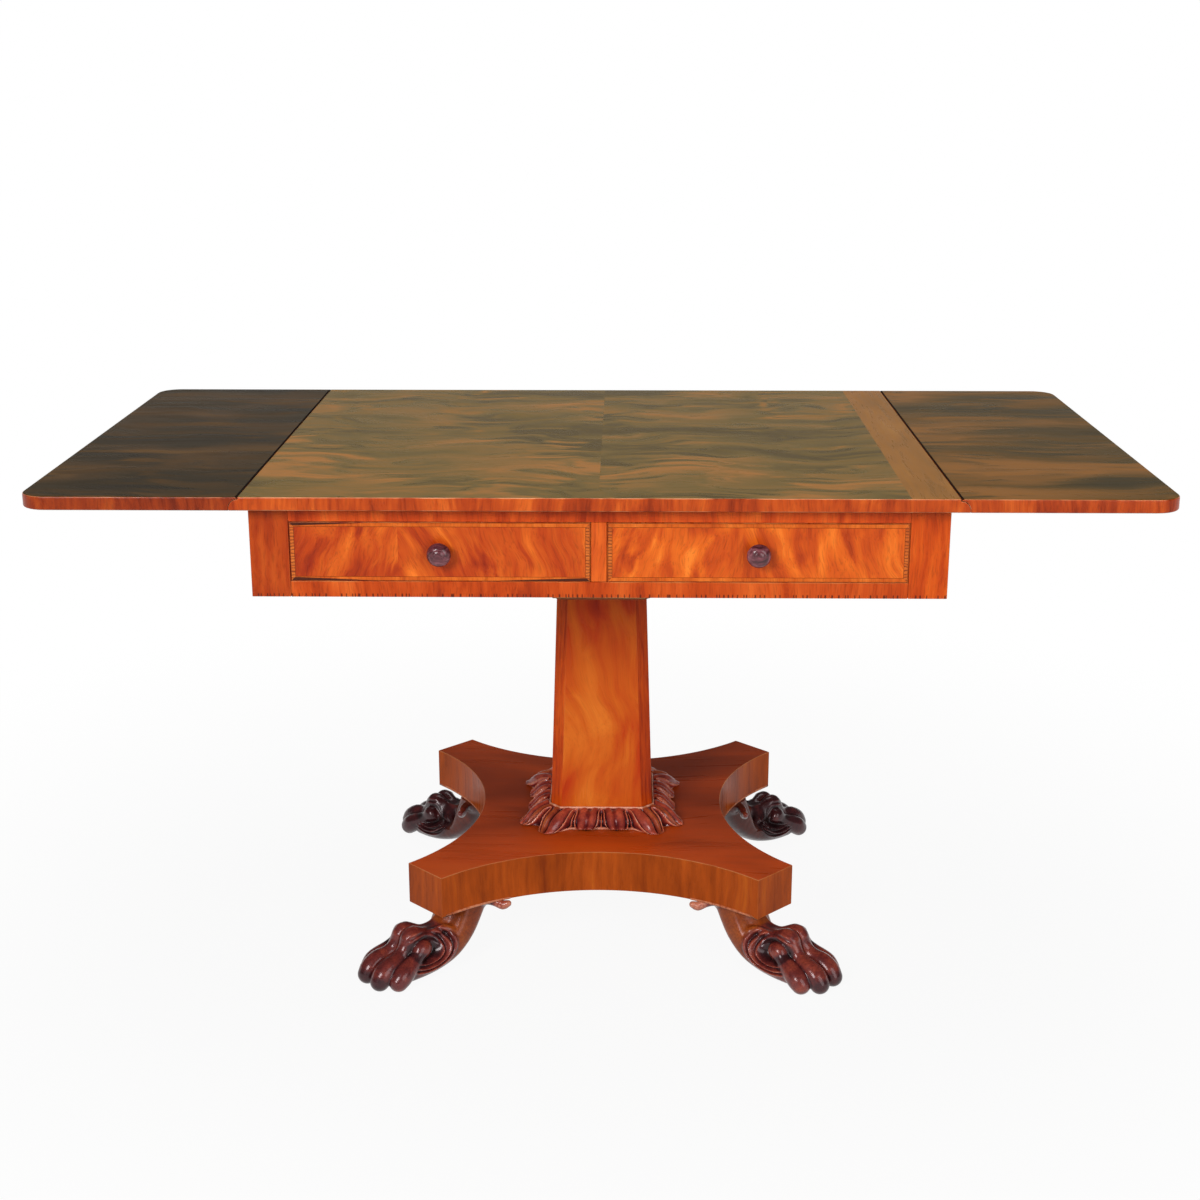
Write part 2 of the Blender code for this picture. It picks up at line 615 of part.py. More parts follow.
for side_name, side in SIDES:
    inner = divider_x + SLIDE_GAP
    outer = stile_inner - SLIDE_GAP
    front_back = -frieze_y + DRAWER_FRONT_THICK
    box_back = -frieze_y + DRAWER_LENGTH
    box_low = opening_bottom
    box_high = box_low + DRAWER_SIDE_HEIGHT
    bottom_low = box_low + DRAWER_BOTTOM_RISE
    bottom_high = bottom_low + DRAWER_BOTTOM_THICK
    mid_x = side * (inner + outer) / 2
    mid_z = (opening_bottom + opening_top) / 2
    axis = carrier(f"drawer_{side_name}_axis", (mid_x, -frieze_y, mid_z))
    board_inner = inner + DRAWER_SIDE_THICK
    board_outer = outer - DRAWER_SIDE_THICK
    groove_inner = board_inner - DRAWER_GROOVE
    groove_outer = board_outer + DRAWER_GROOVE
    groove = ((side * groove_inner, front_back - DRAWER_GROOVE, bottom_low - SEAT_GAP),
              (side * groove_outer, box_back + SEAT_GAP, bottom_high + SEAT_GAP))
    front = piece(
        f"drawer_{side_name}_front",
        block((side * inner, -frieze_y, box_low + SEAT_GAP),
              (side * outer, front_back, opening_top - SLIDE_GAP)), show_wood, axis)
    cut(front, block(*groove),
        rod(KNOB_DOWEL_R + SEAT_GAP, (mid_x, -frieze_y - KNOB_LENGTH, mid_z),
            (mid_x, front_back + KNOB_LENGTH, mid_z), KNOB_STEPS))
    knob(f"drawer_{side_name}_knob", (mid_x, -frieze_y, mid_z), axis)
    for place, near, far in (("inner", inner, board_inner), ("outer", outer, board_outer)):
        board = piece(
            f"drawer_{side_name}_{place}_side",
            block((side * near, front_back + SEAT_GAP, box_low),
                  (side * far, box_back, box_high)), carcase_wood, axis)
        cut(board, block(*groove))
    piece(f"drawer_{side_name}_bottom",
          block((side * (groove_inner + SEAT_GAP), front_back - DRAWER_GROOVE + SEAT_GAP,
                 bottom_low),
                (side * (groove_outer - SEAT_GAP), box_back, bottom_high)), carcase_wood, axis)
    piece(f"drawer_{side_name}_back",
          block((side * (board_inner + SEAT_GAP), box_back - DRAWER_SIDE_THICK,
                 bottom_high + SEAT_GAP),
                (side * (board_outer - SEAT_GAP), box_back, box_high)), carcase_wood, axis)


# Bearer: a tapered cross-bar that takes the column's tenon and carries the carcase
def octagon(half, chamfer):
    """A square with its corners cut off."""
    near = half - chamfer
    return [(half, -near), (half, near), (near, half), (-near, half),
            (-half, near), (-half, -near), (-near, -half), (near, -half)]


bearer_y = frieze_y - BEARER_END_SET
bearer_outline = [
    (-bearer_y, bearer_top), (-bearer_y, bearer_top - BEARER_END), (-CAP_WIDTH / 2, bearer_low),
    (CAP_WIDTH / 2, bearer_low), (bearer_y, bearer_top - BEARER_END), (bearer_y, bearer_top)]
bearer = piece("top_bearer", plate(bearer_outline, BEARER_WIDTH, facing_x()), carcase_wood)
tenon_top = (0, 0, bearer_top)
tenon_foot = (0, 0, platform_under)
mortise = (TENON_R + SEAT_GAP, (0, 0, 0), (0, 0, TOP_HEIGHT), TENON_STEPS)
cut(bearer, rod(*mortise))

# Column cap: a chamfered square plate under the bearer
cap = piece(
    "column_cap",
    plate(octagon(CAP_WIDTH / 2, CAP_CHAMFER), CAP_HEIGHT, facing_z(cap_top - CAP_HEIGHT / 2)),
    show_wood)
cut(cap, rod(*mortise))

# Column: a tapered square with chamfered corners and a round tenon at each end
work = bmesh.new()
bmesh.ops.create_cube(work, size=1)
for vert in work.verts:
    width = COLUMN_TOP if vert.co.z > 0 else COLUMN_FOOT
    height = column_top if vert.co.z > 0 else column_low
    vert.co = (vert.co.x * width, vert.co.y * width, height)
uprights = [
    edge for edge in work.edges
    if abs(edge.verts[0].co.z - edge.verts[1].co.z) > SEAT_GAP]
bmesh.ops.bevel(work, geom=uprights, offset=COLUMN_CHAMFER, segments=1, affect="EDGES")
column = piece("column", to_mesh(work, "column"), show_wood)
join(column, rod(TENON_R, tenon_foot, tenon_top, TENON_STEPS))


# Leaf collar: a ring of carved leaves round the column's foot, lying on the platform
def octagon_radius(angle, half, cut_sum):
    """Distance from the middle to a square with cut corners, in one direction."""
    across = abs(math.cos(angle))
    along = abs(math.sin(angle))
    return min(half / max(across, along), cut_sum / (across + along))


hole_half = COLUMN_FOOT / 2 + SEAT_GAP
hole_cut = 2 * hole_half - COLUMN_CHAMFER
collar_cut = COLLAR_CORNER_WIDTH / math.sqrt(2)
collar_profile = [(0.0, 1.0), (0.16, 1.0), (0.42, 0.86), (0.68, 0.78), (0.88, 0.50), (1.0, 0.10),
                  (0.94, 0.0), (0.0, 0.0)]    # shares of the leaf's length and of the height
stations = COLLAR_LEAVES * COLLAR_STEPS
hole_corner = math.atan2(hole_half - COLUMN_CHAMFER, hole_half)
angles = [2 * math.pi * station / stations for station in range(stations)]
for quarter in range(4):
    angles += [quarter * math.pi / 2 + hole_corner, (quarter + 1) * math.pi / 2 - hole_corner]
work = bmesh.new()
rings = []
for angle in sorted(angles):
    lobe = 0.5 - 0.5 * math.cos(COLLAR_LEAVES * angle)
    start = octagon_radius(angle, hole_half, hole_cut)
    tip = octagon_radius(angle, COLLAR_WIDTH / 2, collar_cut) - COLLAR_LOBE * (1 - lobe)
    ring = []
    for out, up in collar_profile:
        radius = start + (tip - start) * out
        groove = COLLAR_GROOVE * (1 - lobe) * math.sin(math.pi * out)
        height = column_low + (COLLAR_HEIGHT - groove) * up
        ring.append(work.verts.new((radius * math.cos(angle), radius * math.sin(angle), height)))
    rings.append(ring)
for here, after in zip(rings, [*rings[1:], rings[0]]):
    for row in range(len(here)):
        step = (row + 1) % len(here)
        work.faces.new((here[row], after[row], after[step], here[step]))
piece("leaf_collar", to_mesh(work, "leaf_collar"), carved_wood)

# Platform: four hollow sides and four canted corners
hollow = arc_through((PLATFORM_CANT, -PLATFORM_REACH), (-PLATFORM_CANT, -PLATFORM_REACH),
                     -(PLATFORM_REACH - PLATFORM_WAIST), 2 * ARC_STEPS)
platform_outline = []
for quarter in range(4):
    angle = -math.pi / 2 * quarter
    cosine, sine = math.cos(angle), math.sin(angle)
    platform_outline += [(x * cosine - y * sine, x * sine + y * cosine) for x, y in hollow]
platform = piece(
    "platform",
    plate(platform_outline, PLATFORM_THICK, facing_z(PLATFORM_TOP - PLATFORM_THICK / 2)),
    show_wood)
cut(platform, rod(*mortise))


# Feet: a sabre shank under each corner of the platform, ending in a carved paw, with a
# scroll on either side of its root
def limb(path, widen=1.0):
    """A round limb along points of (out, across, up, radius), widened across or not."""
    curve = bpy.data.curves.new("limb", "CURVE")
    curve.dimensions = "3D"
    curve.fill_mode = "FULL"
    curve.resolution_u = LIMB_STEPS
    curve.bevel_depth = 1.0
    curve.bevel_resolution = LIMB_SIDES
    curve.use_fill_caps = True
    spline = curve.splines.new("BEZIER")
    spline.radius_interpolation = "CARDINAL"
    spline.bezier_points.add(len(path) - 1)
    for point, (out, across, up, radius) in zip(spline.bezier_points, path):
        point.co = (out, across, up)
        point.radius = radius
        point.handle_left_type = point.handle_right_type = "AUTO"
    mesh = curve_mesh(curve)
    mesh.transform(Matrix.Diagonal((1, widen, 1, 1)))
    return mesh


def pad(centre, size):
    """An egg-shaped swelling of the paw."""
    work = bmesh.new()
    place = Matrix.Translation(centre) @ Matrix.Diagonal((*size, 1))
    bmesh.ops.create_uvsphere(work, u_segments=PAD_SIDES, v_segments=PAD_SIDES // 2, radius=1,
                              matrix=place)
    return to_mesh(work, "pad")


root_out, root_up, root_radius = SHANK[0]
shank_line = [(root_out, 0, platform_under + SHANK_ROOT, root_radius)]
shank_line += [(out, 0, up, radius) for out, up, radius in SHANK]
paw = piece("paw", limb(shank_line, SHANK_WIDEN), carved_wood)
join(paw, pad(PAD_PLACE, PAD_SIZE))
for side in (-1, 1):
    for toe, across in ((MIDDLE_TOE, MIDDLE_TOE_SIDE), (OUTER_TOE, OUTER_TOE_SIDE)):
        join(paw, limb([(out, side * across, up, radius) for out, up, radius in toe]))
    join(paw, limb([(out, side * across, platform_under - EAR_DROP, radius)
                    for out, across, radius in EAR]))
cut(paw, block((0, -TOP_DEPTH, -TOP_HEIGHT), (TOP_HEIGHT, TOP_DEPTH, 0)),
    block((0, -TOP_DEPTH, platform_under - SEAT_GAP), (TOP_HEIGHT, TOP_DEPTH, TOP_HEIGHT)))
graph = bpy.context.evaluated_depsgraph_get()
paw_mesh = bpy.data.meshes.new_from_object(paw.evaluated_get(graph))
bpy.data.objects.remove(paw)
for side_name, side in SIDES:
    for end_name, end in ENDS:
        leg = piece(f"leg_{end_name}_{side_name}", paw_mesh.copy(), carved_wood)
        leg.rotation_euler.z = math.atan2(end * math.sin(FOOT_SPLAY), side * math.cos(FOOT_SPLAY))
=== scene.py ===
import math

import bmesh
import bpy
import numpy as np
from mathutils import Matrix, Vector


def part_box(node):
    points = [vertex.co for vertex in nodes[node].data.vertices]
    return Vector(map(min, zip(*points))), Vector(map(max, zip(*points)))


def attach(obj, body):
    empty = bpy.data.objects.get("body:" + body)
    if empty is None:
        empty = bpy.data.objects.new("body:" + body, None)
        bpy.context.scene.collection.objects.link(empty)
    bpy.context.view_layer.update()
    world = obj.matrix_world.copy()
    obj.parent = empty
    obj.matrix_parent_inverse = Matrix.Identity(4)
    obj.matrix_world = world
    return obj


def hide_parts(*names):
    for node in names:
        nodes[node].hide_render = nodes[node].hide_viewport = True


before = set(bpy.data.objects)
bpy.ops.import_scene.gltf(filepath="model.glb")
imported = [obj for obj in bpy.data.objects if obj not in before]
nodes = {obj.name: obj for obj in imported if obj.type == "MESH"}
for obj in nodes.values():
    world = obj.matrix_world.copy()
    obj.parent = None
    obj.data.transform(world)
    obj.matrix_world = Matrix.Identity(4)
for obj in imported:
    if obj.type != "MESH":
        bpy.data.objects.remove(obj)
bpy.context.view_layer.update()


# Feet: four sabre legs of solid mahogany, dowelled under the platform's corners. Each is carved in
# the round into a paw: two middle toes with high knuckles, a toe at each side whose knuckle lies in
# a hollow, folds of skin round the hollow, and a scroll at each side of the root.
FOOT_SPLAY = math.radians(42)
FOOT_GRID = 0.0011
foot_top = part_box("leg_front_left")[1].z
# The leg down to the ball of the foot: distance out, height, half thickness and half width
LEG = ((0.2600, 0.1280, 0.0270, 0.0350), (0.2620, 0.1030, 0.0262, 0.0352),
       (0.2735, 0.0775, 0.0245, 0.0365), (0.2905, 0.0530, 0.0232, 0.0395),
       (0.3125, 0.0345, 0.0205, 0.0420), (0.3380, 0.0260, 0.0200, 0.0430),
       (0.3620, 0.0230, 0.0205, 0.0425), (0.3820, 0.0200, 0.0190, 0.0400))
# Lines of the round forms: distance out, distance across, height and radius
SHIN = ((0.272, 0, 0.1180, 0.0240), (0.279, 0, 0.0960, 0.0210), (0.292, 0, 0.0765, 0.0170),
        (0.308, 0, 0.0600, 0.0130), (0.322, 0, 0.0510, 0.0120))
MIDDLE_TOE = ((0.2980, 0.0080, 0.0730, 0.0085), (0.3120, 0.0084, 0.0610, 0.0086),
              (0.3260, 0.0086, 0.0555, 0.0090), (0.3420, 0.0088, 0.0548, 0.0098),
              (0.3555, 0.0092, 0.0585, 0.0125), (0.3680, 0.0096, 0.0600, 0.0148),
              (0.3765, 0.0104, 0.0500, 0.0122), (0.3850, 0.0116, 0.0405, 0.0108),
              (0.3960, 0.0132, 0.0335, 0.0122), (0.4090, 0.0146, 0.0295, 0.0142),
              (0.4205, 0.0152, 0.0215, 0.0152), (0.4270, 0.0152, 0.0135, 0.0140))
SIDE_TOE = ((0.3620, 0.0260, 0.0440, 0.0112), (0.3720, 0.0285, 0.0368, 0.0106),
            (0.3820, 0.0305, 0.0305, 0.0118), (0.3930, 0.0325, 0.0245, 0.0138),
            (0.4020, 0.0338, 0.0190, 0.0150), (0.4085, 0.0342, 0.0135, 0.0138))
HOOK = ((0.3500, 0.0150, 0.0580, 0.0046), (0.3340, 0.0178, 0.0605, 0.0050),
        (0.3190, 0.0215, 0.0630, 0.0054), (0.3108, 0.0265, 0.0590, 0.0052),
        (0.3112, 0.0330, 0.0510, 0.0045))
SCROLL = ((0.2560, 0.0200, 0.0910, 0.0140), (0.2560, 0.0440, 0.0955, 0.0078),
          (0.2510, 0.0560, 0.0940, 0.0066), (0.2460, 0.0650, 0.0912, 0.0068),
          (0.2415, 0.0715, 0.0945, 0.0050))
# Round places: distance out, distance across and height, with the half size each way
BALL_OF_FOOT = ((0.3440, 0, 0.0395), (0.0410, 0.0310, 0.0250))
KNUCKLE = ((0.3610, 0.0262, 0.0455), (0.0150, 0.0118, 0.0126))
HOLLOW = ((0.3600, 0.0425, 0.0460), (0.0262, 0.0205, 0.0170))
FOLD_SPACING = 0.0068
FOLD_DEPTH = 0.0036
FOLD_SQUASH = 0.62
TOE_SEAM_HALF = 0.0007
TOE_SEAM_DEPTH = 0.0030
TOE_SEAM_START = 0.350
EYE_RADIUS = 0.0030
EYE_WIDTH = 0.0008
EYE_DEPTH = 0.0013
INSTEP_FALL = 0.016
SHADE = 0.22
SCROLL_RUB_AND_HIGHLIGHT = 0.25
# How far each foot is rubbed and how far its leg is bare of stain, beside the left front one. The
# # back feet's lower values are partly a darker stain and partly painted shade under the table; the
# # front right foot's higher one is painted light
FOOT_WEAR_AND_SHADE = {"front_left": (1.0, 1.0), "front_right": (1.10, 1.0), "back_left": (0.66, 0.40),
               "back_right": (0.66, 0.40)}


def linear(hex_colour):
    """An sRGB hex colour as linear RGBA."""
    shares = [int(hex_colour[i:i + 2], 16) / 255 for i in (1, 3, 5)]
    return (*[s / 12.92 if s <= 0.04045 else ((s + 0.055) / 1.055) ** 2.4 for s in shares], 1)


def settle(tree, node, settings, links):
    """Sets a node's properties and sockets, and links what feeds its sockets."""
    for key, value in settings.items():
        if key == "stops":
            band = node.color_ramp.elements
            while len(band) < len(value):
                band.new(0.5)
            for stop, (place, colour) in zip(band, value):
                stop.position = place
                stop.color = linear(colour)
        elif isinstance(key, str) and key[0].islower():
            setattr(node, key, value)
        else:
            node.inputs[key].default_value = value
    for key, source in links.items():
        tree.links.new(source.outputs[0] if hasattr(source, "outputs") else source,
                       node.inputs[key])


def add(tree, kind, settings=None, links=None):
    """One new node with its settings and links. A kind without Node in it is a shader node."""
    node = tree.nodes.new(kind if "Node" in kind else f"ShaderNode{kind}")
    settle(tree, node, settings or {}, links or {})
    return node


def begin(name):
    """An empty material: its tree, its shader and its Object coordinates."""
    made = bpy.data.materials.new(name)
    made.use_nodes = True
    tree = made.node_tree
    place = add(tree, "TexCoord").outputs["Object"]
    return made, tree, tree.nodes["Principled BSDF"], place


def stand(name, data):
    """A new object in the scene."""
    made = bpy.data.objects.new(name, data)
    bpy.context.scene.collection.objects.link(made)
    return made


def show(name, mesh, body, slot, *stands_for):
    """A finished piece: it rides on its body and stands for CAD nodes."""
    made = stand(name, mesh)
    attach(made, body)
    if stands_for:
        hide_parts(*stands_for)
    return made


def rise(values, start, end):
    """0 before start, 1 after end, and a smooth rise between them."""
    share = np.clip((values - start) / (end - start), 0, 1)
    return share * share * (3 - 2 * share)


def smooth_line(points, steps):
    """Close-set stations on a smooth line through points."""
    rows = np.array(points, float)
    padded = np.vstack([2 * rows[0] - rows[1], rows, 2 * rows[-1] - rows[-2]])
    found = []
    for i in range(1, len(padded) - 2):
        a, b, c, d = padded[i - 1:i + 3]
        for t in np.arange(steps) / steps:
            found.append(0.5 * (2 * b + (c - a) * t + (2 * a - 5 * b + 4 * c - d) * t * t
                                + (3 * b - a - 3 * c + d) * t ** 3))
    return [*found, rows[-1]]


def round_limb(space, line):
    """Distance from each point of space to a limb of changing radius."""
    nearest = np.full(space[0].shape, np.inf)
    for start, end in zip(line, line[1:]):
        along = end[:3] - start[:3]
        share = sum((axis - o) * d for axis, o, d in zip(space, start, along)) / (along @ along)
        share = np.clip(share, 0, 1)
        gap = np.sqrt(sum((axis - o - share * d) ** 2 for axis, o, d in zip(space, start, along)))
        nearest = np.minimum(nearest, gap - start[3] - (end[3] - start[3]) * share)
    return nearest


def flat_limb(space, line):
    """Distance, nearly, to a limb in the middle plane with a squarish section."""
    out, across, up = space
    nearest = np.full(out.shape, np.inf)
    for start, end in zip(line, line[1:]):
        run = end - start
        share = ((out - start[0]) * run[0] + (up - start[1]) * run[1]) / (run[:2] @ run[:2])
        share = np.clip(share, 0, 1)
        apart = np.hypot(out - start[0] - share * run[0], up - start[1] - share * run[1])
        thick, wide = start[2] + run[2] * share, start[3] + run[3] * share
        gap = ((apart / thick) ** 3 + (across / wide) ** 3) ** (1 / 3) - 1
        nearest = np.minimum(nearest, gap * thick)
    return nearest


def egg(space, centre, size):
    """Distance, nearly, to an egg-shaped form."""
    return (np.sqrt(sum(((axis - c) / s) ** 2
                        for axis, c, s in zip(space, centre, size))) - 1) * min(size)


def joined(first, second, fillet):
    """Two forms as one, with a fillet between them."""
    near = np.clip(fillet - np.abs(first - second), 0, None)
    return np.minimum(first, second) - near * near / (4 * fillet)


def skin(field, low, spacing):
    """The points and four-sided faces of the surface where a field is zero."""
    corners = [(i, j, k) for i in (0, 1) for j in (0, 1) for k in (0, 1)]
    size = tuple(n - 1 for n in field.shape)
    value = [field[i:i + size[0], j:j + size[1], k:k + size[2]] for i, j, k in corners]
    within = sum((v < 0).astype(np.int8) for v in value)
    cells = np.argwhere((within > 0) & (within < 8))
    number = -np.ones(size, np.int64)
    number[tuple(cells.T)] = np.arange(len(cells))
    at = [v[tuple(cells.T)] for v in value]
    total = np.zeros((len(cells), 3))
    count = np.zeros((len(cells), 1))
    for a in range(8):
        for axis in range(3):
            b = a | (4 >> axis)
            if b == a:
                continue
            crossed = (at[a] < 0) != (at[b] < 0)
            share = np.where(crossed, at[a] / np.where(crossed, at[a] - at[b], 1), 0)
            step = np.array(corners[a], float) + share[:, None] * np.eye(3)[axis]
            total += step * crossed[:, None]
            count += crossed[:, None]
    faces = []
    for axis, (first, second) in enumerate(((1, 2), (2, 0), (0, 1))):
        here = [slice(1, -1)] * 3
        here[axis] = slice(0, -1)
        beyond = list(here)
        beyond[axis] = slice(1, None)
        inside, after = field[tuple(here)] < 0, field[tuple(beyond)] < 0
        for outward, crossed in ((1, inside & ~after), (-1, ~inside & after)):
            found = np.argwhere(crossed) + 1
            found[:, axis] -= 1
            u, w = np.eye(3, dtype=int)[first], np.eye(3, dtype=int)[second]
            ring = [number[tuple(place.T)]
                    for place in (found - u - w, found - w, found, found - u)]
            faces.append(np.stack(ring[::outward], 1))
    return low + (cells + total / count) * spacing, np.vstack(faces)


def around(points, faces, rounds):
    """Each point's mean with its neighbours, taken over and over."""
    a = np.concatenate([faces[:, i] for i in range(4)])
    b = np.concatenate([faces[:, i] for i in (1, 2, 3, 0)])
    ends, starts = np.concatenate([a, b]), np.concatenate([b, a])
    count = np.bincount(ends, minlength=len(points))
    for _ in range(rounds):
        points = np.stack([np.bincount(ends, points[starts, axis], len(points)) / count
                           for axis in range(3)], 1)
    return points


def carved_mesh(name, points, faces, reach, depth):
    """A carved mesh, its normals, and how far each point stands proud, from 0 to 1."""
    mesh = bpy.data.meshes.new(name)
    mesh.from_pydata(points.tolist(), [], faces.tolist())
    mesh.shade_smooth()
    normals = np.zeros(len(points) * 3)
    mesh.vertices.foreach_get("normal", normals)
    normals = normals.reshape(-1, 3)
    proud = ((points - around(points, faces, reach)) * normals).sum(1)
    return mesh, normals, np.clip(0.5 + proud / depth, 0, 1)


def mark(mesh, wear, plain):
    """Stores what carved_mahogany reads at each point."""
    for label, values in (("wear", wear), ("plain", plain)):
        mesh.attributes.new(label, "FLOAT", "POINT").data.foreach_set("value", values)


def carved_mahogany(name, tones, polish=0.42):
    """Carved mahogany, stained and polished: dark in the hollows, partly stain and partly painted
    shade, red-brown on the flats, and orange to pale pink on the ridges, partly where hands and
    dusters have rubbed it and partly painted highlight, with a broken gloss. The attribute plain
    marks smooth polished stretches."""
    made, tree, shader, place = begin(name)
    wear = add(tree, "Attribute", {"attribute_name": "wear"}).outputs["Fac"]
    plain = add(tree, "Attribute", {"attribute_name": "plain"}).outputs["Fac"]
    cloud = add(tree, "TexNoise", {"Scale": 1 / 0.016, "Detail": 4.0}, {"Vector": place})
    fleck = add(tree, "TexNoise", {"Scale": 1 / 0.0025, "Detail": 2.0}, {"Vector": place})
    uneven = add(tree, "MapRange", {"From Min": 0.3, "From Max": 0.7,
                 "To Min": -0.11, "To Max": 0.11}, {"Value": cloud})
    height = add(tree, "Math", {"operation": "ADD"}, {0: wear, 1: uneven})
    stain = add(tree, "ValToRGB", {"stops": list(zip((0.12, 0.38, 0.56, 0.74, 0.95),
                tones))}, {"Fac": height})
    bare = add(tree, "ValToRGB", {"stops": [
        (0.20, "#5c2410"), (0.50, "#8c3f16"), (0.80, "#ab5822")]}, {"Fac": height})
    coloured = add(tree, "Mix", {"data_type": "RGBA"}, {0: plain, 6: stain, 7: bare})
    dust = add(tree, "MapRange", {"From Min": 0.3, "From Max": 0.7, "To Min": 0.72,
               "To Max": 1.1}, {"Value": fleck})
    speckled = add(tree, "Mix", {"data_type": "RGBA", "blend_type": "MULTIPLY",
                   0: 1.0}, {6: coloured.outputs[2], 7: dust})
    gloss = add(tree, "MapRange", {"To Min": 0.38, "To Max": 0.24}, {"Value": wear})
    shine = add(tree, "MapRange", {"To Min": polish, "To Max": 0.05}, {"Value": plain})
    tooled = add(tree, "Bump", {"Strength": 0.25, "Distance": 0.0006}, {"Height": cloud})
    settle(tree, shader, {"Coat Roughness": 0.17, "Specular IOR Level": 0.30,
                          "Specular Tint": linear("#ffe0e6")},
           {"Base Color": speckled.outputs[2], "Roughness": gloss, "Coat Weight": shine,
            "Normal": tooled})
    return made


foot_low = np.array([0.222, 0.0, -0.0055])
foot_high = np.array([0.450, 0.092, 0.104])
sides = [np.arange(low, high, FOOT_GRID) for low, high in zip(foot_low, foot_high)]
space = np.meshgrid(*sides, indexing="ij")
out, across, up = space
form = joined(flat_limb(space, smooth_line(LEG, 3)), round_limb(space, smooth_line(SHIN, 2)), 0.012)
form = joined(form, egg(space, *BALL_OF_FOOT), 0.008)
for line, fillet in ((MIDDLE_TOE, 0.0040), (HOOK, 0.0035), (SCROLL, 0.0060)):
    form = joined(form, round_limb(space, smooth_line(line, 3)), fillet)
ring = np.hypot((out - HOLLOW[0][0]) * FOLD_SQUASH, up - HOLLOW[0][2])
ripple = np.cos(2 * math.pi * (ring - HOLLOW[1][2]) / FOLD_SPACING)
folded = rise(across, 0.016, 0.026) * (1 - rise(out, 0.376, 0.396))
folded *= rise(ring, 0.0155, 0.0180) * (1 - rise(ring, 0.0280, 0.0325))
form = form + FOLD_DEPTH / 2 * folded * (0.1 - ripple)
form = -joined(-form, egg(space, *HOLLOW), 0.0025)
toe = joined(round_limb(space, smooth_line(SIDE_TOE, 3)), egg(space, *KNUCKLE), 0.0030)
form = joined(form, toe, 0.0016)
between = np.maximum(np.abs(across) - TOE_SEAM_HALF, TOE_SEAM_START - out)
form = np.maximum(form, -np.maximum(between, -(form + TOE_SEAM_DEPTH)))
eye = np.hypot(across - SCROLL[3][1], up - SCROLL[3][2]) - EYE_RADIUS
form = form + EYE_DEPTH * np.exp(-(eye / EYE_WIDTH) ** 2) * rise(across, 0.060, 0.063)
form = np.maximum(np.maximum(form, -up), up - foot_top)
whole = np.concatenate([form[:, :0:-1], form], 1)
points, faces = skin(whole, foot_low - (0, sides[1][-1], 0), FOOT_GRID)
points = around(points, faces, 2)
out, across, up = points.T
# The outer side of the instep falls away more than the inner one
points[:, 2] -= (INSTEP_FALL * rise(-across, 0.006, 0.022) * rise(out, 0.285, 0.305)
                 * (1 - rise(out, 0.335, 0.358)) * rise(up, 0.030, 0.062))
points[:, 2] = np.clip(points[:, 2], 0, foot_top)
# How far each point stands proud sets its colour: lighter on ridges, partly rubbed and partly
# painted highlight, and darker in hollows, partly stain and partly painted shade
paw, normals, wear = carved_mesh("carved_paw", points, faces, 8, 0.0036)
ring = np.hypot((out - HOLLOW[0][0]) * FOLD_SQUASH, up - HOLLOW[0][2])
plain = rise(ring, 0.0300, 0.0345) * (1 - rise(out, 0.318, 0.335))
# Less bare, lighter wood on faces that look down: painted shade under the paw
plain *= (1 - 0.75 * rise(-normals[:, 2], 0.15, 0.65)) * (1 - rise(np.abs(across), 0.040, 0.046))
knuckle_gap = egg((out, np.abs(across), up), *KNUCKLE)
# Painted shade: darker in the hollow round the side toe's knuckle and under the toe ends
sunk = (1 - rise(ring, 0.0135, 0.0175)) * rise(np.abs(across), 0.014, 0.019)
wear = wear - SHADE * sunk * rise(knuckle_gap, 0.0002, 0.0022)
wear = wear - SHADE * rise(out, 0.412, 0.436) * (1 - rise(up, 0.016, 0.030))
# The scrolls come out lighter: partly rubbed wood and partly painted highlight
wear = np.clip(wear + SCROLL_RUB_AND_HIGHLIGHT * rise(np.abs(across), 0.054, 0.062), 0, 1)
paw.materials.append(carved_mahogany("carved_paw_mahogany", [
    "#120708", "#3d171a", "#6e2b26", "#9c4632", "#ca7e62"]))
for end_name, end in (("front", -1), ("back", 1)):
    for side_name, side in (("left", -1), ("right", 1)):
        turned = paw.copy()
        if side * end < 0:
            turned.transform(Matrix.Diagonal((1, -1, 1, 1)))
            turned.flip_normals()
        # These scales hold painted shade on the back feet and painted light on the front right one
        rubbed, bare = FOOT_WEAR_AND_SHADE[f"{end_name}_{side_name}"]
        mark(turned, np.clip(wear * rubbed, 0, 1), plain * bare)
        splay = math.atan2(end * math.sin(FOOT_SPLAY), side * math.cos(FOOT_SPLAY))
        turned.transform(Matrix.Rotation(splay, 4, "Z"))
        show(f"paw_foot_{end_name}_{side_name}", turned, "frame", "carved_mahogany",
             f"leg_{end_name}_{side_name}")


# Platform: a thick board with hollow sides and canted corners, mahogany veneer on its top and,
# with the grain upright, round its edge. The arrises are rubbed pale.
PLATFORM_CANT = 0.220
PLATFORM_WAIST = 0.180
HOLLOW_STEPS = 40
PLATFORM_ARRIS = 0.0010


def by_grain(grain, value, others=1.0):
    """One value for the axis that the fibres follow and another for the other two."""
    return [value if axis == grain else others for axis in "XYZ"]


def even_steps(tones, low, high):
    """Tones at even steps from low to high."""
    step = (high - low) / (len(tones) - 1)
    return [(low + step * i, tone) for i, tone in enumerate(tones)]


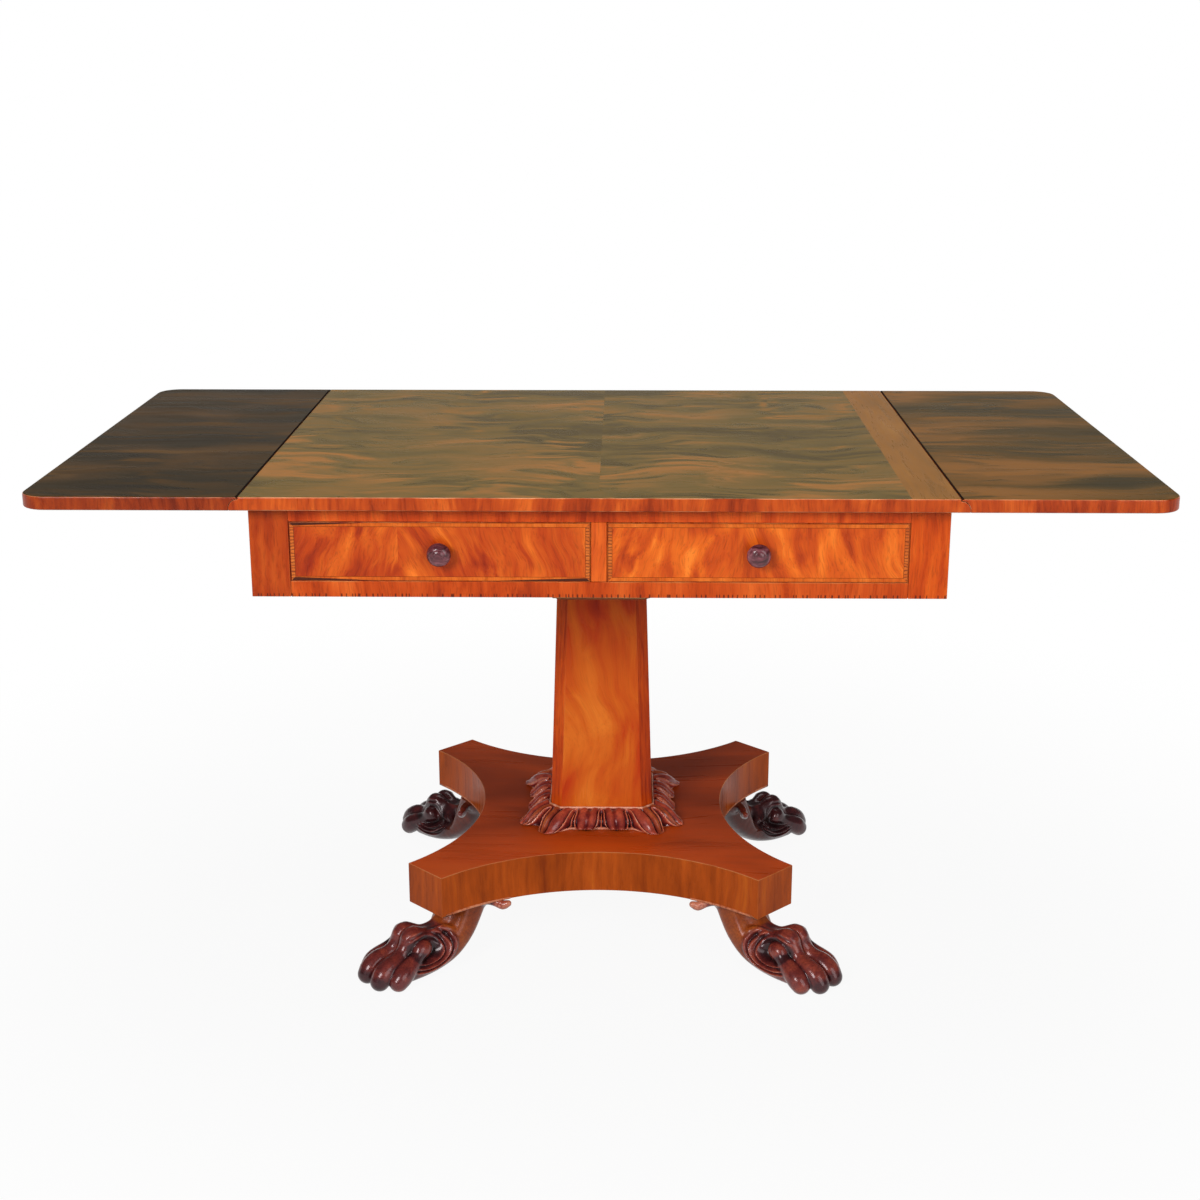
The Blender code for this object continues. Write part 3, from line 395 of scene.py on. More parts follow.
def wood(name, tones, grain, figure, streak, rough=0.30, gloss=0.18, pores=0.5, warp=0.03,
         worn="#c87a44", contrast=(0.34, 0.66), fine=0.42, ragged=0.0, mirror=False, feather=None,
         rising=None):
    """Polished wood: a broad figure with streaks along the grain, dark pores, and rubbed arrises.

    grain is the axis that the fibres follow, figure and streak are widths in metres, and fine is
    the streaks' share. ragged draws the figure's edges out along the fibres. mirror book-matches
    the veneer at the middle of X, with the second sheet a little deeper in the log. feather leans
    the grain both ways from a point, as in wood from a crotch. rising is an axis, two places on it
    and how much lighter the wood is at the first of them."""
    made, tree, shader, place = begin(name)
    seat = place
    if mirror or feather:
        centre, lean = feather or ((0, 0, 0), 0)
        moved = add(tree, "VectorMath", {"operation": "SUBTRACT", 1: centre}, {0: place})
        apart = add(tree, "SeparateXYZ", {}, {0: moved})
        half = add(tree, "Math", {"operation": "ABSOLUTE"}, {0: apart})
        flank = add(tree, "Math", {"operation": "GREATER_THAN", 1: 0.0}, {0: apart})
    if mirror:
        leaf = add(tree, "Math", {"operation": "MULTIPLY", 1: 0.45 * figure}, {0: flank})
        place = add(tree, "CombineXYZ", {}, {0: half, 1: apart.outputs[1], 2: leaf})
    if feather:
        leant = add(tree, "Math", {"operation": "MULTIPLY_ADD", 1: lean},
                    {0: apart.outputs[2], 2: half})
        sheet = add(tree, "Math", {"operation": "ADD", 1: 5 * centre[0]}, {0: flank})
        place = add(tree, "CombineXYZ", {}, {0: leant, 1: sheet, 2: apart.outputs[2]})
    drift = add(tree, "TexNoise", {"Scale": 0.35 / figure, "Detail": 2.0}, {"Vector": place})
    shift = add(tree, "VectorMath", {"operation": "MULTIPLY_ADD",
                1: (warp,) * 3}, {0: drift.outputs["Color"], 2: place})
    broad = add(tree, "Mapping", {"Scale": by_grain(grain, 1 / 3)}, {"Vector": shift})
    drawn = add(tree, "Mapping", {"Scale": by_grain(grain, 1 / 14)}, {"Vector": shift})
    fibre = add(tree, "TexNoise", {"Scale": 1 / streak, "Detail": 4.0}, {"Vector": drawn})
    torn = add(tree, "VectorMath", {"operation": "MULTIPLY_ADD", 1: by_grain(grain, ragged, 0.0)},
               {0: fibre.outputs["Color"], 2: broad})
    plume = add(tree, "TexNoise", {"Scale": 1 / figure, "Detail": 2.5,
                "Distortion": 0.5}, {"Vector": torn})
    # Real pores are a fifth of a millimetre wide. They are drawn coarser, so that they show
    pore = add(tree, "TexNoise", {"Scale": 1 / 0.0016, "Detail": 1.0}, {"Vector": drawn})
    value = add(tree, "Mix", {"data_type": "FLOAT", 0: fine}, {2: plume, 3: fibre})
    if rising:
        axis, start, end, lighter = rising
        level = add(tree, "SeparateXYZ", {}, {0: seat}).outputs["XYZ".index(axis)]
        change = add(tree, "MapRange", {"interpolation_type": "SMOOTHSTEP",
                     "From Min": start, "From Max": end, "To Min": lighter, "To Max": -lighter},
                     {"Value": level})
        value = add(tree, "Math", {"operation": "ADD"}, {0: value, 1: change})
    colour = add(tree, "ValToRGB", {"stops": even_steps(tones, *contrast)}, {"Fac": value})
    speck = add(tree, "MapRange", {"From Min": 0.30, "From Max": 0.48,
                "To Min": 1.0 - 0.45 * pores, "To Max": 1.0}, {"Value": pore})
    porous = add(tree, "Mix", {"data_type": "RGBA", "blend_type": "MULTIPLY", 0: 1.0},
                 {6: colour, 7: speck})
    arris = add(tree, "Attribute", {"attribute_name": "arris"}).outputs["Fac"]
    rub = add(tree, "MapRange", {"From Min": 0.35, "From Max": 0.65, "To Max": 0.8},
              {"Value": plume})
    rubbed = add(tree, "Math", {"operation": "MULTIPLY"}, {0: arris, 1: rub})
    final = add(tree, "Mix", {"data_type": "RGBA", 7: linear(worn)},
                {0: rubbed, 6: porous.outputs[2]})
    sheen = add(tree, "MapRange", {"From Min": 0.3, "From Max": 0.7,
                "To Min": rough - 0.05, "To Max": rough + 0.06}, {"Value": fibre})
    relief = add(tree, "Bump", {"Strength": 0.24 * pores, "Distance": 0.0003}, {"Height": pore})
    settle(tree, shader, {"Specular IOR Level": gloss},
           {"Base Color": final.outputs[2], "Roughness": sheen, "Normal": relief})
    return made


def smoothed(work, name, sharp):
    """The mesh of a worked piece, smooth but for edges that turn by more than sharp degrees."""
    mesh = bpy.data.meshes.new(name)
    work.to_mesh(mesh)
    work.free()
    mesh.shade_smooth()
    mesh.set_sharp_from_angle(angle=math.radians(sharp))
    return mesh


def eased(work, width, name):
    """A board's mesh with its sharp outer edges eased and marked as worn arrises, upright ones
    less.
    """
    marks = work.faces.layers.float.new("arris")
    edges = [edge for edge in work.edges if len(edge.link_faces) == 2
             and edge.calc_face_angle_signed() > math.radians(40)]
    soft = bmesh.ops.bevel(work, geom=edges, offset=width, segments=2, profile=0.5,
                           affect="EDGES", clamp_overlap=True)
    for face in soft["faces"]:
        face[marks] = 1.0 if abs(face.normal.z) > 0.1 else 0.25
    return smoothed(work, name, 38)


def true_faces(made):
    """Keeps flat faces flat in the light beside their eased edges."""
    step = made.modifiers.new("true_faces", "WEIGHTED_NORMAL")
    step.keep_sharp = True


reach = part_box("platform")[1].x
low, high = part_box("platform")[0].z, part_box("platform")[1].z
sag = reach - PLATFORM_WAIST
hollow_radius = (PLATFORM_CANT ** 2 + sag ** 2) / (2 * sag)
half_turn = math.asin(PLATFORM_CANT / hollow_radius)
outline = []
for quarter in range(4):
    turn = Matrix.Rotation(math.pi / 2 * quarter, 3, "Z")
    for step in range(HOLLOW_STEPS + 1):
        angle = half_turn * (2 * step / HOLLOW_STEPS - 1)
        outline.append(turn @ Vector((hollow_radius * math.sin(angle),
                       -PLATFORM_WAIST - hollow_radius * (1 - math.cos(angle)), low)))
work = bmesh.new()
sole = work.faces.new([work.verts.new(point) for point in outline])
lifted = bmesh.ops.extrude_face_region(work, geom=[sole])
bmesh.ops.translate(work, vec=(0, 0, high - low),
                    verts=[v for v in lifted["geom"] if isinstance(v, bmesh.types.BMVert)])
bmesh.ops.recalc_face_normals(work, faces=work.faces)
board = eased(work, PLATFORM_ARRIS, "platform_board")
# The top is lighter towards the front and darker towards the back: painted shade of the table above
board.materials.append(wood("platform_top_veneer",
                            ["#70280a", "#93360d", "#c84e15", "#d66020"], "X", 0.13, 0.016,
                            gloss=0.12, worn="#d89a6c", warp=0.08, contrast=(0.12, 0.88), fine=0.20,
                            pores=0.15, rising=("Y", -0.22, 0.10, 0.13)))
board.materials.append(wood("platform_edge_veneer",
                            ["#7a2d08", "#963f0d", "#ac4b13", "#bf5f1b"], "Z", 0.05, 0.010,
                            gloss=0.08, worn="#b8713e", contrast=(0.30, 0.70), pores=0.3))
for face in board.polygons:
    face.material_index = 0 if abs(face.normal.z) > 0.9 else 1
true_faces(show("platform_board", board, "frame", "polished_mahogany", "platform"))


# Corner beads: a thin round bead of paler mahogany, glued under each corner of the platform from
# one scroll of the foot to the other. It follows the platform's outline.
BEAD_RADIUS = 0.0019
BEAD_REACH = 0.070
bead_wood = wood("bead_mahogany", ["#9a4a2c", "#bd6f4c", "#d08a68"], "Z", 0.02, 0.004)
bead_lines = bpy.data.meshes.new("bead_lines")
runs = []
for end in (-1, 1):
    for side in (-1, 1):
        away = Vector((side * math.cos(FOOT_SPLAY), end * math.sin(FOOT_SPLAY), 0))
        beside = Vector((-away.y, away.x, 0))
        near = [p for p in outline if p.dot(away) > 0 and abs(p.dot(beside)) < BEAD_REACH]
        runs.append(sorted(near, key=lambda point: point.dot(beside)))
inset = 1 - BEAD_RADIUS * 0.8 / PLATFORM_WAIST
places = [(point.x * inset, point.y * inset, low + BEAD_RADIUS * 0.6)
          for run in runs for point in run]
starts = np.cumsum([0] + [len(run) for run in runs])
links = [(i, i + 1) for first, last in zip(starts, starts[1:]) for i in range(first, last - 1)]
bead_lines.from_pydata(places, links, [])


def grower_tree(name, *size_names):
    """An empty node tree with named sizes: the tree, its input node and the sizes' sockets."""
    tree = bpy.data.node_groups.new(name, "GeometryNodeTree")
    for way in ("INPUT", "OUTPUT"):
        tree.interface.new_socket("Geometry", in_out=way, socket_type="NodeSocketGeometry")
    sizes = [tree.interface.new_socket(size_name, in_out="INPUT", socket_type="NodeSocketFloat")
             for size_name in size_names]
    return tree, add(tree, "NodeGroupInput"), sizes


def end_tree(tree, geometry, material):
    """Ends a node tree with a plain mesh and its finish."""
    plain_mesh = add(tree, "GeometryNodeRealizeInstances", {}, {"Geometry": geometry})
    finished = add(tree, "GeometryNodeSetMaterial", {"Material": material},
                   {"Geometry": plain_mesh})
    add(tree, "NodeGroupOutput", {}, {"Geometry": finished})


def grown(name, mesh, tree, sizes):
    """The plain mesh that a node tree makes from a mesh, with its named sizes."""
    holder = stand(name, mesh)
    grower = holder.modifiers.new(name, "NODES")
    grower.node_group = tree
    for socket, value in sizes.items():
        grower[socket.identifier] = value
    graph = bpy.context.evaluated_depsgraph_get()
    made = bpy.data.meshes.new_from_object(holder.evaluated_get(graph))
    holder.modifiers.remove(grower)
    bpy.data.objects.remove(holder)
    return made


tree, given, (size,) = grower_tree("corner_beads", "Bead Radius")
path = add(tree, "GeometryNodeMeshToCurve", {}, {"Mesh": given.outputs["Geometry"]})
section = add(tree, "GeometryNodeCurvePrimitiveCircle", {"Resolution": 10},
              {"Radius": given.outputs["Bead Radius"]})
tube = add(tree, "GeometryNodeCurveToMesh", {"Fill Caps": True},
           {"Curve": path, "Profile Curve": section.outputs["Curve"]})
end_tree(tree, tube, bead_wood)
beads = grown("corner_beads", bead_lines, tree, {size: BEAD_RADIUS})
beads.shade_smooth()
show("corner_beads", beads, "frame", "carved_mahogany")


# Leaf collar: a ring of carved mahogany glued round the column's foot. Four leaves to a side, the
# end ones drawn out to a point, are edged by one rolled ribbon that arches over the dart between
# every two.
LEAF_STATIONS = 64
LEAF_MEETING = math.radians(24.5)
LEAF_LENGTH = 0.060
MIDDLE_LEAF_REACH = 0.1085
END_LEAF_REACH = 0.1190
COLLAR_CORNER = 0.2010
COLUMN_FOOT = 0.152
COLUMN_CHAMFER = 0.016
COLLAR_CLEARANCE = 0.0003
RIBBON_WIDTH = 0.0014
RIBBON_PROUD = 0.0022
LEAF_PITCH = 0.024
BELLY_SWELL = 0.0066
BELLY_SUNK = 0.0042
VEIN_PROUD = 0.0022
DART_SUNK = 0.0044
DART_RIPPLE = 0.0018
DART_LIFT = 0.0024
DRAWN_IN = 0.0060
TIP_LIFT = 0.0030
FILLET_HEIGHT = 0.0022
BELOW_TOP = 0.0028
# The section from the column outward and down: share of the width and share of the height
COLLAR_PROFILE = ((0.0, 1.0), (0.10, 1.0), (0.28, 0.96), (0.47, 0.86), (0.64, 0.68), (0.77, 0.44),
                  (0.88, 0.22), (1.0, 0.07), (0.93, 0.0))
collar_low, collar_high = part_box("leaf_collar")[0].z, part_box("leaf_collar")[1].z
section = np.array(smooth_line(COLLAR_PROFILE, 9))
row = np.linspace(0, 1, len(section))
# For each kind of leaf, middle and end: the ribbon's line from the top of an arch, down the leaf's
# side and round to its tip. Stations crowd along the ribbon, so that its line is clean.
climb = np.linspace(0, math.pi / 2, 50)
share = (np.arange(LEAF_STATIONS) + 0.5) / LEAF_STATIONS * 2 - 1
far = np.abs(share)[:, None]
kinds = []
for blunt in (0.55, 0.85):
    arch = np.stack([1 - 0.22 * np.sin(climb), 0.38 - 0.18 * np.cos(climb)], 1)
    hang = np.stack([0.78 * np.cos(climb) ** blunt, 0.38 + 0.56 * np.sin(climb)], 1)
    ribbon = np.vstack([arch, hang[1:]])
    edge = np.interp(row, ribbon[:, 1], ribbon[:, 0], left=1.0, right=0.0)
    place = np.where(far < 0.8, far / 0.8 * edge, edge + (far - 0.8) / 0.2 * (1 - edge))
    gap = np.full(place.shape, np.inf)
    for place_s, place_v in ribbon:
        gap = np.minimum(gap, np.hypot((place - place_s) * LEAF_PITCH,
                                       (row - place_v) * LEAF_LENGTH))
    kinds.append((np.sign(share)[:, None] * place, np.tile(edge, (LEAF_STATIONS, 1)), gap))
s, leaf_edge, gap = (np.vstack([kinds[kind][item] for kind in (1, 0, 0, 1)] * 4)
                     for item in range(3))
v = np.tile(row, (len(s), 1))
turns = [-math.pi / 4, -LEAF_MEETING, 0.0, LEAF_MEETING, math.pi / 4]
firsts = [side * math.pi / 2 + turn for side in range(4) for turn in turns[:-1]]
lasts = [side * math.pi / 2 + turn for side in range(4) for turn in turns[1:]]
first, last, corner = (np.repeat(values, LEAF_STATIONS)[:, None]
                       for values in (firsts, lasts, [-1, 0, 0, 1] * 4))
angle = first + (last - first) * (s + 1) / 2
turned = np.abs((angle + math.pi / 4) % (math.pi / 2) - math.pi / 4)
end_leaf = np.abs(corner)
rim = np.exp(-(gap / RIBBON_WIDTH) ** 2)
inside = (np.abs(s) <= leaf_edge).astype(float)
rib = 0.25 * corner * leaf_edge
within = np.abs(s - rib) / np.maximum(leaf_edge - np.sign(s - rib) * rib, 0.02)
swell = np.sin(math.pi * np.clip(within, 0, 1) ** 0.85)
vein = np.exp(-(within / 0.08) ** 2) * (1 - end_leaf)
belly = BELLY_SWELL * swell + VEIN_PROUD * vein - BELLY_SUNK
across_dart = (1 - np.abs(s)) / np.maximum(1 - leaf_edge, 0.02)
dart = -DART_SUNK + DART_RIPPLE * np.cos(3 * math.pi * across_dart)
dart = dart + DART_LIFT * rise(v, 0.70, 0.95)
carve = (inside * belly + (1 - inside) * dart) * (1 - rim) + RIBBON_PROUD * rim
carve *= rise(v, 0.06, 0.14) * (1 - rise(v, 0.965, 1.0))


def cut_square(angle, half, cut_sum):
    """Distance from the middle to a square with cut corners."""
    across, along = np.abs(np.cos(angle)), np.abs(np.sin(angle))
    return np.minimum(half / np.maximum(across, along), cut_sum / (across + along))


hole_half = COLUMN_FOOT / 2 + COLLAR_CLEARANCE
inner = cut_square(angle, hole_half, 2 * hole_half - COLUMN_CHAMFER)
drawn_out = rise(turned, LEAF_MEETING, LEAF_MEETING + 0.10)
half = MIDDLE_LEAF_REACH + (END_LEAF_REACH - MIDDLE_LEAF_REACH) * drawn_out
tip = cut_square(angle, half, COLLAR_CORNER)
drawn_in = DRAWN_IN * (1 - inside) * rise(v, 0.50, 0.90) * (1 - rim)
drawn_in += DRAWN_IN * rise(turned, 0.70, math.pi / 4) * rise(v, 0.30, 0.80)
radius = inner + (tip - inner) * section[:, 0] - drawn_in + carve * rise(v, 0.30, 0.80)
height = collar_low + (collar_high - BELOW_TOP - collar_low) * section[:, 1]
height = height + carve * (1 - rise(v, 0.6, 1.0)) + FILLET_HEIGHT * (1 - rise(v, 0.035, 0.06))
height += TIP_LIFT * (1 - drawn_out) * rise(v, 0.55, 0.90) * (1 - rise(v, 0.97, 1.0))
height = np.clip(height, collar_low, collar_high)
points = np.stack([radius * np.cos(angle), radius * np.sin(angle), height], 2)
seat = np.stack([inner[:, 0] * np.cos(angle[:, 0]), inner[:, 0] * np.sin(angle[:, 0]),
                 np.full(len(angle), collar_low)], 1)
points = np.concatenate([points, seat[:, None]], 1)
rows = points.shape[1]
here = np.arange(len(points))[:, None] * rows + np.arange(rows)
after = np.roll(here, -1, 0)
faces = np.stack([here, np.roll(here, -1, 1), np.roll(after, -1, 1), after], 2).reshape(-1, 4)
# How far each point stands proud sets its colour: lighter on ridges, partly rubbed and partly
# painted highlight, and darker in hollows, partly stain and partly painted shade
collar, normals, wear = carved_mesh("carved_leaves", points.reshape(-1, 3), faces, 9, 0.0026)
fillet = np.zeros(points.shape[:2])
fillet[:, :-1] = 1 - rise(v, 0.05, 0.08)
wear = np.clip(0.86 * wear + 0.7 * fillet.ravel(), 0, 1)
smooth_belly = np.zeros(points.shape[:2])
smooth_belly[:, :-1] = 0.7 * inside * swell * (1 - rim) * end_leaf * (s * corner > rib * corner)
mark(collar, wear, smooth_belly.ravel())
collar.materials.append(carved_mahogany("carved_collar_mahogany", [
    "#240810", "#742220", "#b24a34", "#d06e4a", "#eca88c"], polish=0.65))
show("carved_leaf_collar", collar, "frame", "carved_mahogany", "leaf_collar")


# Column and its cap: a tapered square pillar with chamfered corners, flame veneer upright on
# its faces, and a chamfered plate on top. Round tenons hold it in the platform and the bearer.
BOARD_ARRIS = 0.0009
MERGE_DISTANCE = 0.00001


def cad_copy(node):
    """A CAD board's own shape, merged from its loose triangles."""
    work = bmesh.new()
    work.from_mesh(nodes[node].data)
    bmesh.ops.remove_doubles(work, verts=work.verts, dist=MERGE_DISTANCE)
    bmesh.ops.dissolve_limit(work, angle_limit=math.radians(1), verts=work.verts, edges=work.edges)
    return work


def dress(node, name, body, slot, material, width=BOARD_ARRIS):
    """A CAD board with eased edges and a finish of its own."""
    mesh = eased(cad_copy(node), width, name)
    mesh.materials.clear()
    mesh.materials.append(material)
    made = show(name, mesh, body, slot, node)
    true_faces(made)
    return made


column_wood = wood("column_flame_veneer", ["#9a2409", "#b83a0d", "#ca5c17", "#de7826"], "Z",
                   0.075, 0.012, gloss=0.12, pores=0.2, warp=0.14, contrast=(0.30, 0.70), fine=0.24,
                   ragged=0.03, rising=("Z", 0.30, 0.52, 0.085))
chamfer_wood = wood("column_chamfer_veneer", ["#942a06", "#b83e0a", "#cc4e0f", "#da601a"], "Z",
                    0.060, 0.006, gloss=0.08, warp=0.02)
column = dress("column", "tapered_column", "frame", "polished_mahogany", column_wood)
column.data.materials.append(chamfer_wood)
for face in column.data.polygons:
    face.material_index = 1 if min(abs(face.normal.x), abs(face.normal.y)) > 0.4 else 0
dress("column_cap", "column_cap_plate", "frame", "polished_mahogany",
      wood("column_cap_mahogany", ["#6f2a10", "#93401a", "#a9501f"], "X", 0.05, 0.008))


# Carcase: the bearer under the frieze, the runners and the inner sides are plain sawn pine,
# never polished, browned by age and glued and screwed together out of sight.
def sawn(name, tones, grain, figure, streak):
    """Unpolished wood from the saw: streaked along the grain, dull and a little rough."""
    made, tree, shader, place = begin(name)
    broad = add(tree, "Mapping", {"Scale": by_grain(grain, 1 / 5)}, {"Vector": place})
    drawn = add(tree, "Mapping", {"Scale": by_grain(grain, 1 / 25)}, {"Vector": place})
    patch = add(tree, "TexNoise", {"Scale": 1 / figure, "Detail": 3.0}, {"Vector": broad})
    fibre = add(tree, "TexNoise", {"Scale": 1 / streak, "Detail": 3.0,
                "Distortion": 0.3}, {"Vector": drawn})
    value = add(tree, "Mix", {"data_type": "FLOAT", 0: 0.5}, {2: patch, 3: fibre})
    colour = add(tree, "ValToRGB", {"stops": even_steps(tones, 0.34, 0.66)}, {"Fac": value})
    dull = add(tree, "MapRange", {"To Min": 0.62, "To Max": 0.78}, {"Value": fibre})
    saw = add(tree, "Bump", {"Strength": 0.3, "Distance": 0.0005}, {"Height": fibre})
    settle(tree, shader, {}, {"Base Color": colour, "Roughness": dull, "Normal": saw})
    return made


PINE = ["#6e4a28", "#8d6438", "#a67a48", "#b98f5c"]
pine = {axis: sawn(f"carcase_pine_{axis.lower()}", PINE, axis, 0.05, 0.006) for axis in "XY"}
for node in ("top_bearer", "drawer_runner_left", "drawer_runner_right", "drawer_runner_centre",
             "side_rail_left", "side_rail_right"):
    dress(node, f"sawn_{node}", "frame", "carcase_pine", pine["Y"])


# Fly rails, flies and the back: the outer side boards with their brackets sawn out of them, hung
# on wooden knuckles and iron pins. The rails and the back are polished, the flies left raw.
FINE_ARRIS = 0.0006
side_wood = wood("fly_rail_mahogany", ["#7d2c0f", "#a23c16", "#b84b1e", "#c8602c"], "Y",
                 0.06, 0.009)
back_wood = wood("back_rail_mahogany", ["#6f280e", "#923616", "#a8441c", "#b85628"], "X",
                 0.07, 0.010)
raw_cedar = sawn("raw_cedar", ["#a2583c", "#bd6d4c", "#cf7f5b", "#dc9270"], "Y", 0.04, 0.005)
dress("back_rail", "polished_back_rail", "frame", "polished_mahogany", back_wood)
for side_name in ("left", "right"):
    dress(f"fly_rail_{side_name}", f"polished_fly_rail_{side_name}", "frame",
          "polished_mahogany", side_wood, FINE_ARRIS)
    for end_name in ("front", "back"):
        dress(f"fly_{side_name}_{end_name}", f"raw_fly_{side_name}_{end_name}",
              f"fly_{side_name}_{end_name}", "raw_cedar", raw_cedar, FINE_ARRIS)


# Front of the frieze: two rails, two stiles and a divider, tenoned and faced with mahogany
# veneer whose grain stands upright. A row of dark ticks, old glue and dirt in the grain's open
# ends, runs along the lower edge.
TICK_HEIGHT = 0.0056
TICK_SPACING = 0.0046
NOTCHES = (-0.307, -0.1865, 0.090, 0.364)
NOTCH_WIDTH = 0.0030
FRONT_TONES = {"front_top_rail": ["#a5320c", "#c44413", "#d6541a", "#e66824"],
               "front_bottom_rail": ["#9a310c", "#b8420f", "#c85018", "#d86222"],
               "front_stile_left": ["#86290a", "#a2370e", "#b34513", "#c4561c"],
               "front_stile_right": ["#982e08", "#b8400e", "#ca4e12", "#da601a"],
               "drawer_divider": ["#c64e18", "#dc6220", "#ea7028", "#f27e34"]}


def reopened(material):
    """A finished wood's tree, shader, Object coordinates, their parts and its colour so far."""
    tree = material.node_tree
    shader = tree.nodes["Principled BSDF"]
    place = add(tree, "TexCoord").outputs["Object"]
    part = add(tree, "SeparateXYZ", {}, {0: place})
    return tree, shader, place, part.outputs, shader.inputs["Base Color"].links[0].from_socket


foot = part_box("front_bottom_rail")[0].z
for node, tones in FRONT_TONES.items():
    front_wood = wood(f"crossband_{node}", tones, "Z", 0.045, 0.008, gloss=0.14)
    tree, shader, place, part, face_colour = reopened(front_wood)
    spread = add(tree, "Mapping", {"Scale": (1, 0, 0)}, {"Vector": place})
    tick = add(tree, "TexNoise", {"Scale": 1.6 / TICK_SPACING, "Detail": 0.0}, {"Vector": spread})
    tick = add(tree, "MapRange", {"From Min": 0.54, "From Max": 0.60}, {"Value": tick})
    under = add(tree, "MapRange", {"From Min": foot + TICK_HEIGHT,
                "From Max": foot + TICK_HEIGHT * 0.7, "To Max": 0.85}, {"Value": part[2]})
    for notch in NOTCHES:
        apart = add(tree, "Math", {"operation": "COMPARE", 1: notch,
                    2: NOTCH_WIDTH / 2}, {0: part[0]})
        tick = add(tree, "Math", {"operation": "MAXIMUM"}, {0: tick, 1: apart})
    ticked = add(tree, "Math", {"operation": "MULTIPLY"}, {0: tick, 1: under})
    marked = add(tree, "Mix", {"data_type": "RGBA", 7: linear("#4a160a")},
                 {0: ticked, 6: face_colour})
    tree.links.new(marked.outputs[2], shader.inputs["Base Color"])
    dress(node, f"veneered_{node}", "frame", "polished_mahogany", front_wood)


# Drawers: pine boxes with a mahogany front each, veneered with wood from a crotch inside a narrow
# band. The band's end pieces are paler and ticked with dark short ends, and slivers are gone from
# the left drawer's band. Sides and back are grooved for the bottom board.
BAND_WIDTH = 0.0066
BAND_LINE = 0.0006
GAP_SHADOW_WIDTH = 0.0016
BOX_ARRIS = 0.0005
# Where the crotch figure parts, as a share of each front
FLAME_CENTRE = {"left": 0.36, "right": 0.45}
FLAME_LEAN = 0.32
FLAME_TONES = {"left": ["#93280a", "#b6400e", "#cf5a17", "#f27c28"],
               "right": ["#a2340c", "#c64d12", "#de661a", "#f6842c"]}
FLAME_RISE = {"left": -0.035, "right": 0.0}
DASH_SPACING = 0.0042
# Lost slivers of the left drawer: distance from its left end to the sliver's wide end and to its
# point, and which edge has lost it, 1 the upper and -1 the lower
SLIVERS = ((0.000, 0.135, 1), (0.012, 0.145, -1), (0.382, 0.215, -1))
SLIVER_DEPTH = 0.0052
# A near-black wood for the line between band and field, and for the painted shadow of the gap round
# each drawer
line_and_gap_shadow_wood = wood("dark_line_and_gap_shadow", ["#200804", "#38120a", "#4a1c0c"], "X", 0.01, 0.003, gloss=0.05)


def banded(name, tones, grain, dashes, slivers, low, high):
    """Band veneer with its short grain across: pale, with dark dashes, and dark lost slivers."""
    made = wood(name, tones, grain, 0.03, 0.005)
    tree, shader, place, part, colour = reopened(made)
    if dashes:
        wobble = add(tree, "TexNoise", {"Scale": 1 / 0.009, "Detail": 0.0}, {"Vector": place})
        moved = add(tree, "Math", {"operation": "MULTIPLY_ADD", 1: 0.004}, {0: wobble, 2: part[2]})
        count = add(tree, "Math", {"operation": "DIVIDE", 1: DASH_SPACING}, {0: moved})
        share = add(tree, "Math", {"operation": "FRACT"}, {0: count})
        dash = add(tree, "MapRange", {"From Min": 0.36, "From Max": 0.24,
                   "To Max": 0.8}, {"Value": share})
        colour = add(tree, "Mix", {"data_type": "RGBA", 7: linear("#6a2610")},
                     {0: dash, 6: colour}).outputs[2]
    for wide, point, edge in slivers:
        border = high.z if edge > 0 else low.z
        inward = add(tree, "Math", {"operation": "MULTIPLY_ADD", 1: -edge,
                     2: edge * border}, {0: part[2]})
        depth = add(tree, "MapRange", {"From Min": low.x + wide,
                    "From Max": low.x + point, "To Min": SLIVER_DEPTH, "To Max": -0.0004},
                    {"Value": part[0]})
        over = add(tree, "Math", {"operation": "SUBTRACT"}, {0: depth, 1: inward})
        lost = add(tree, "MapRange", {"From Min": -0.0002, "From Max": 0.0004,
                   "To Max": 0.92}, {"Value": over})
        colour = add(tree, "Mix", {"data_type": "RGBA", 7: linear("#2a0d0a")},
                     {0: lost, 6: colour}).outputs[2]
    tree.links.new(colour, shader.inputs["Base Color"])
    return made


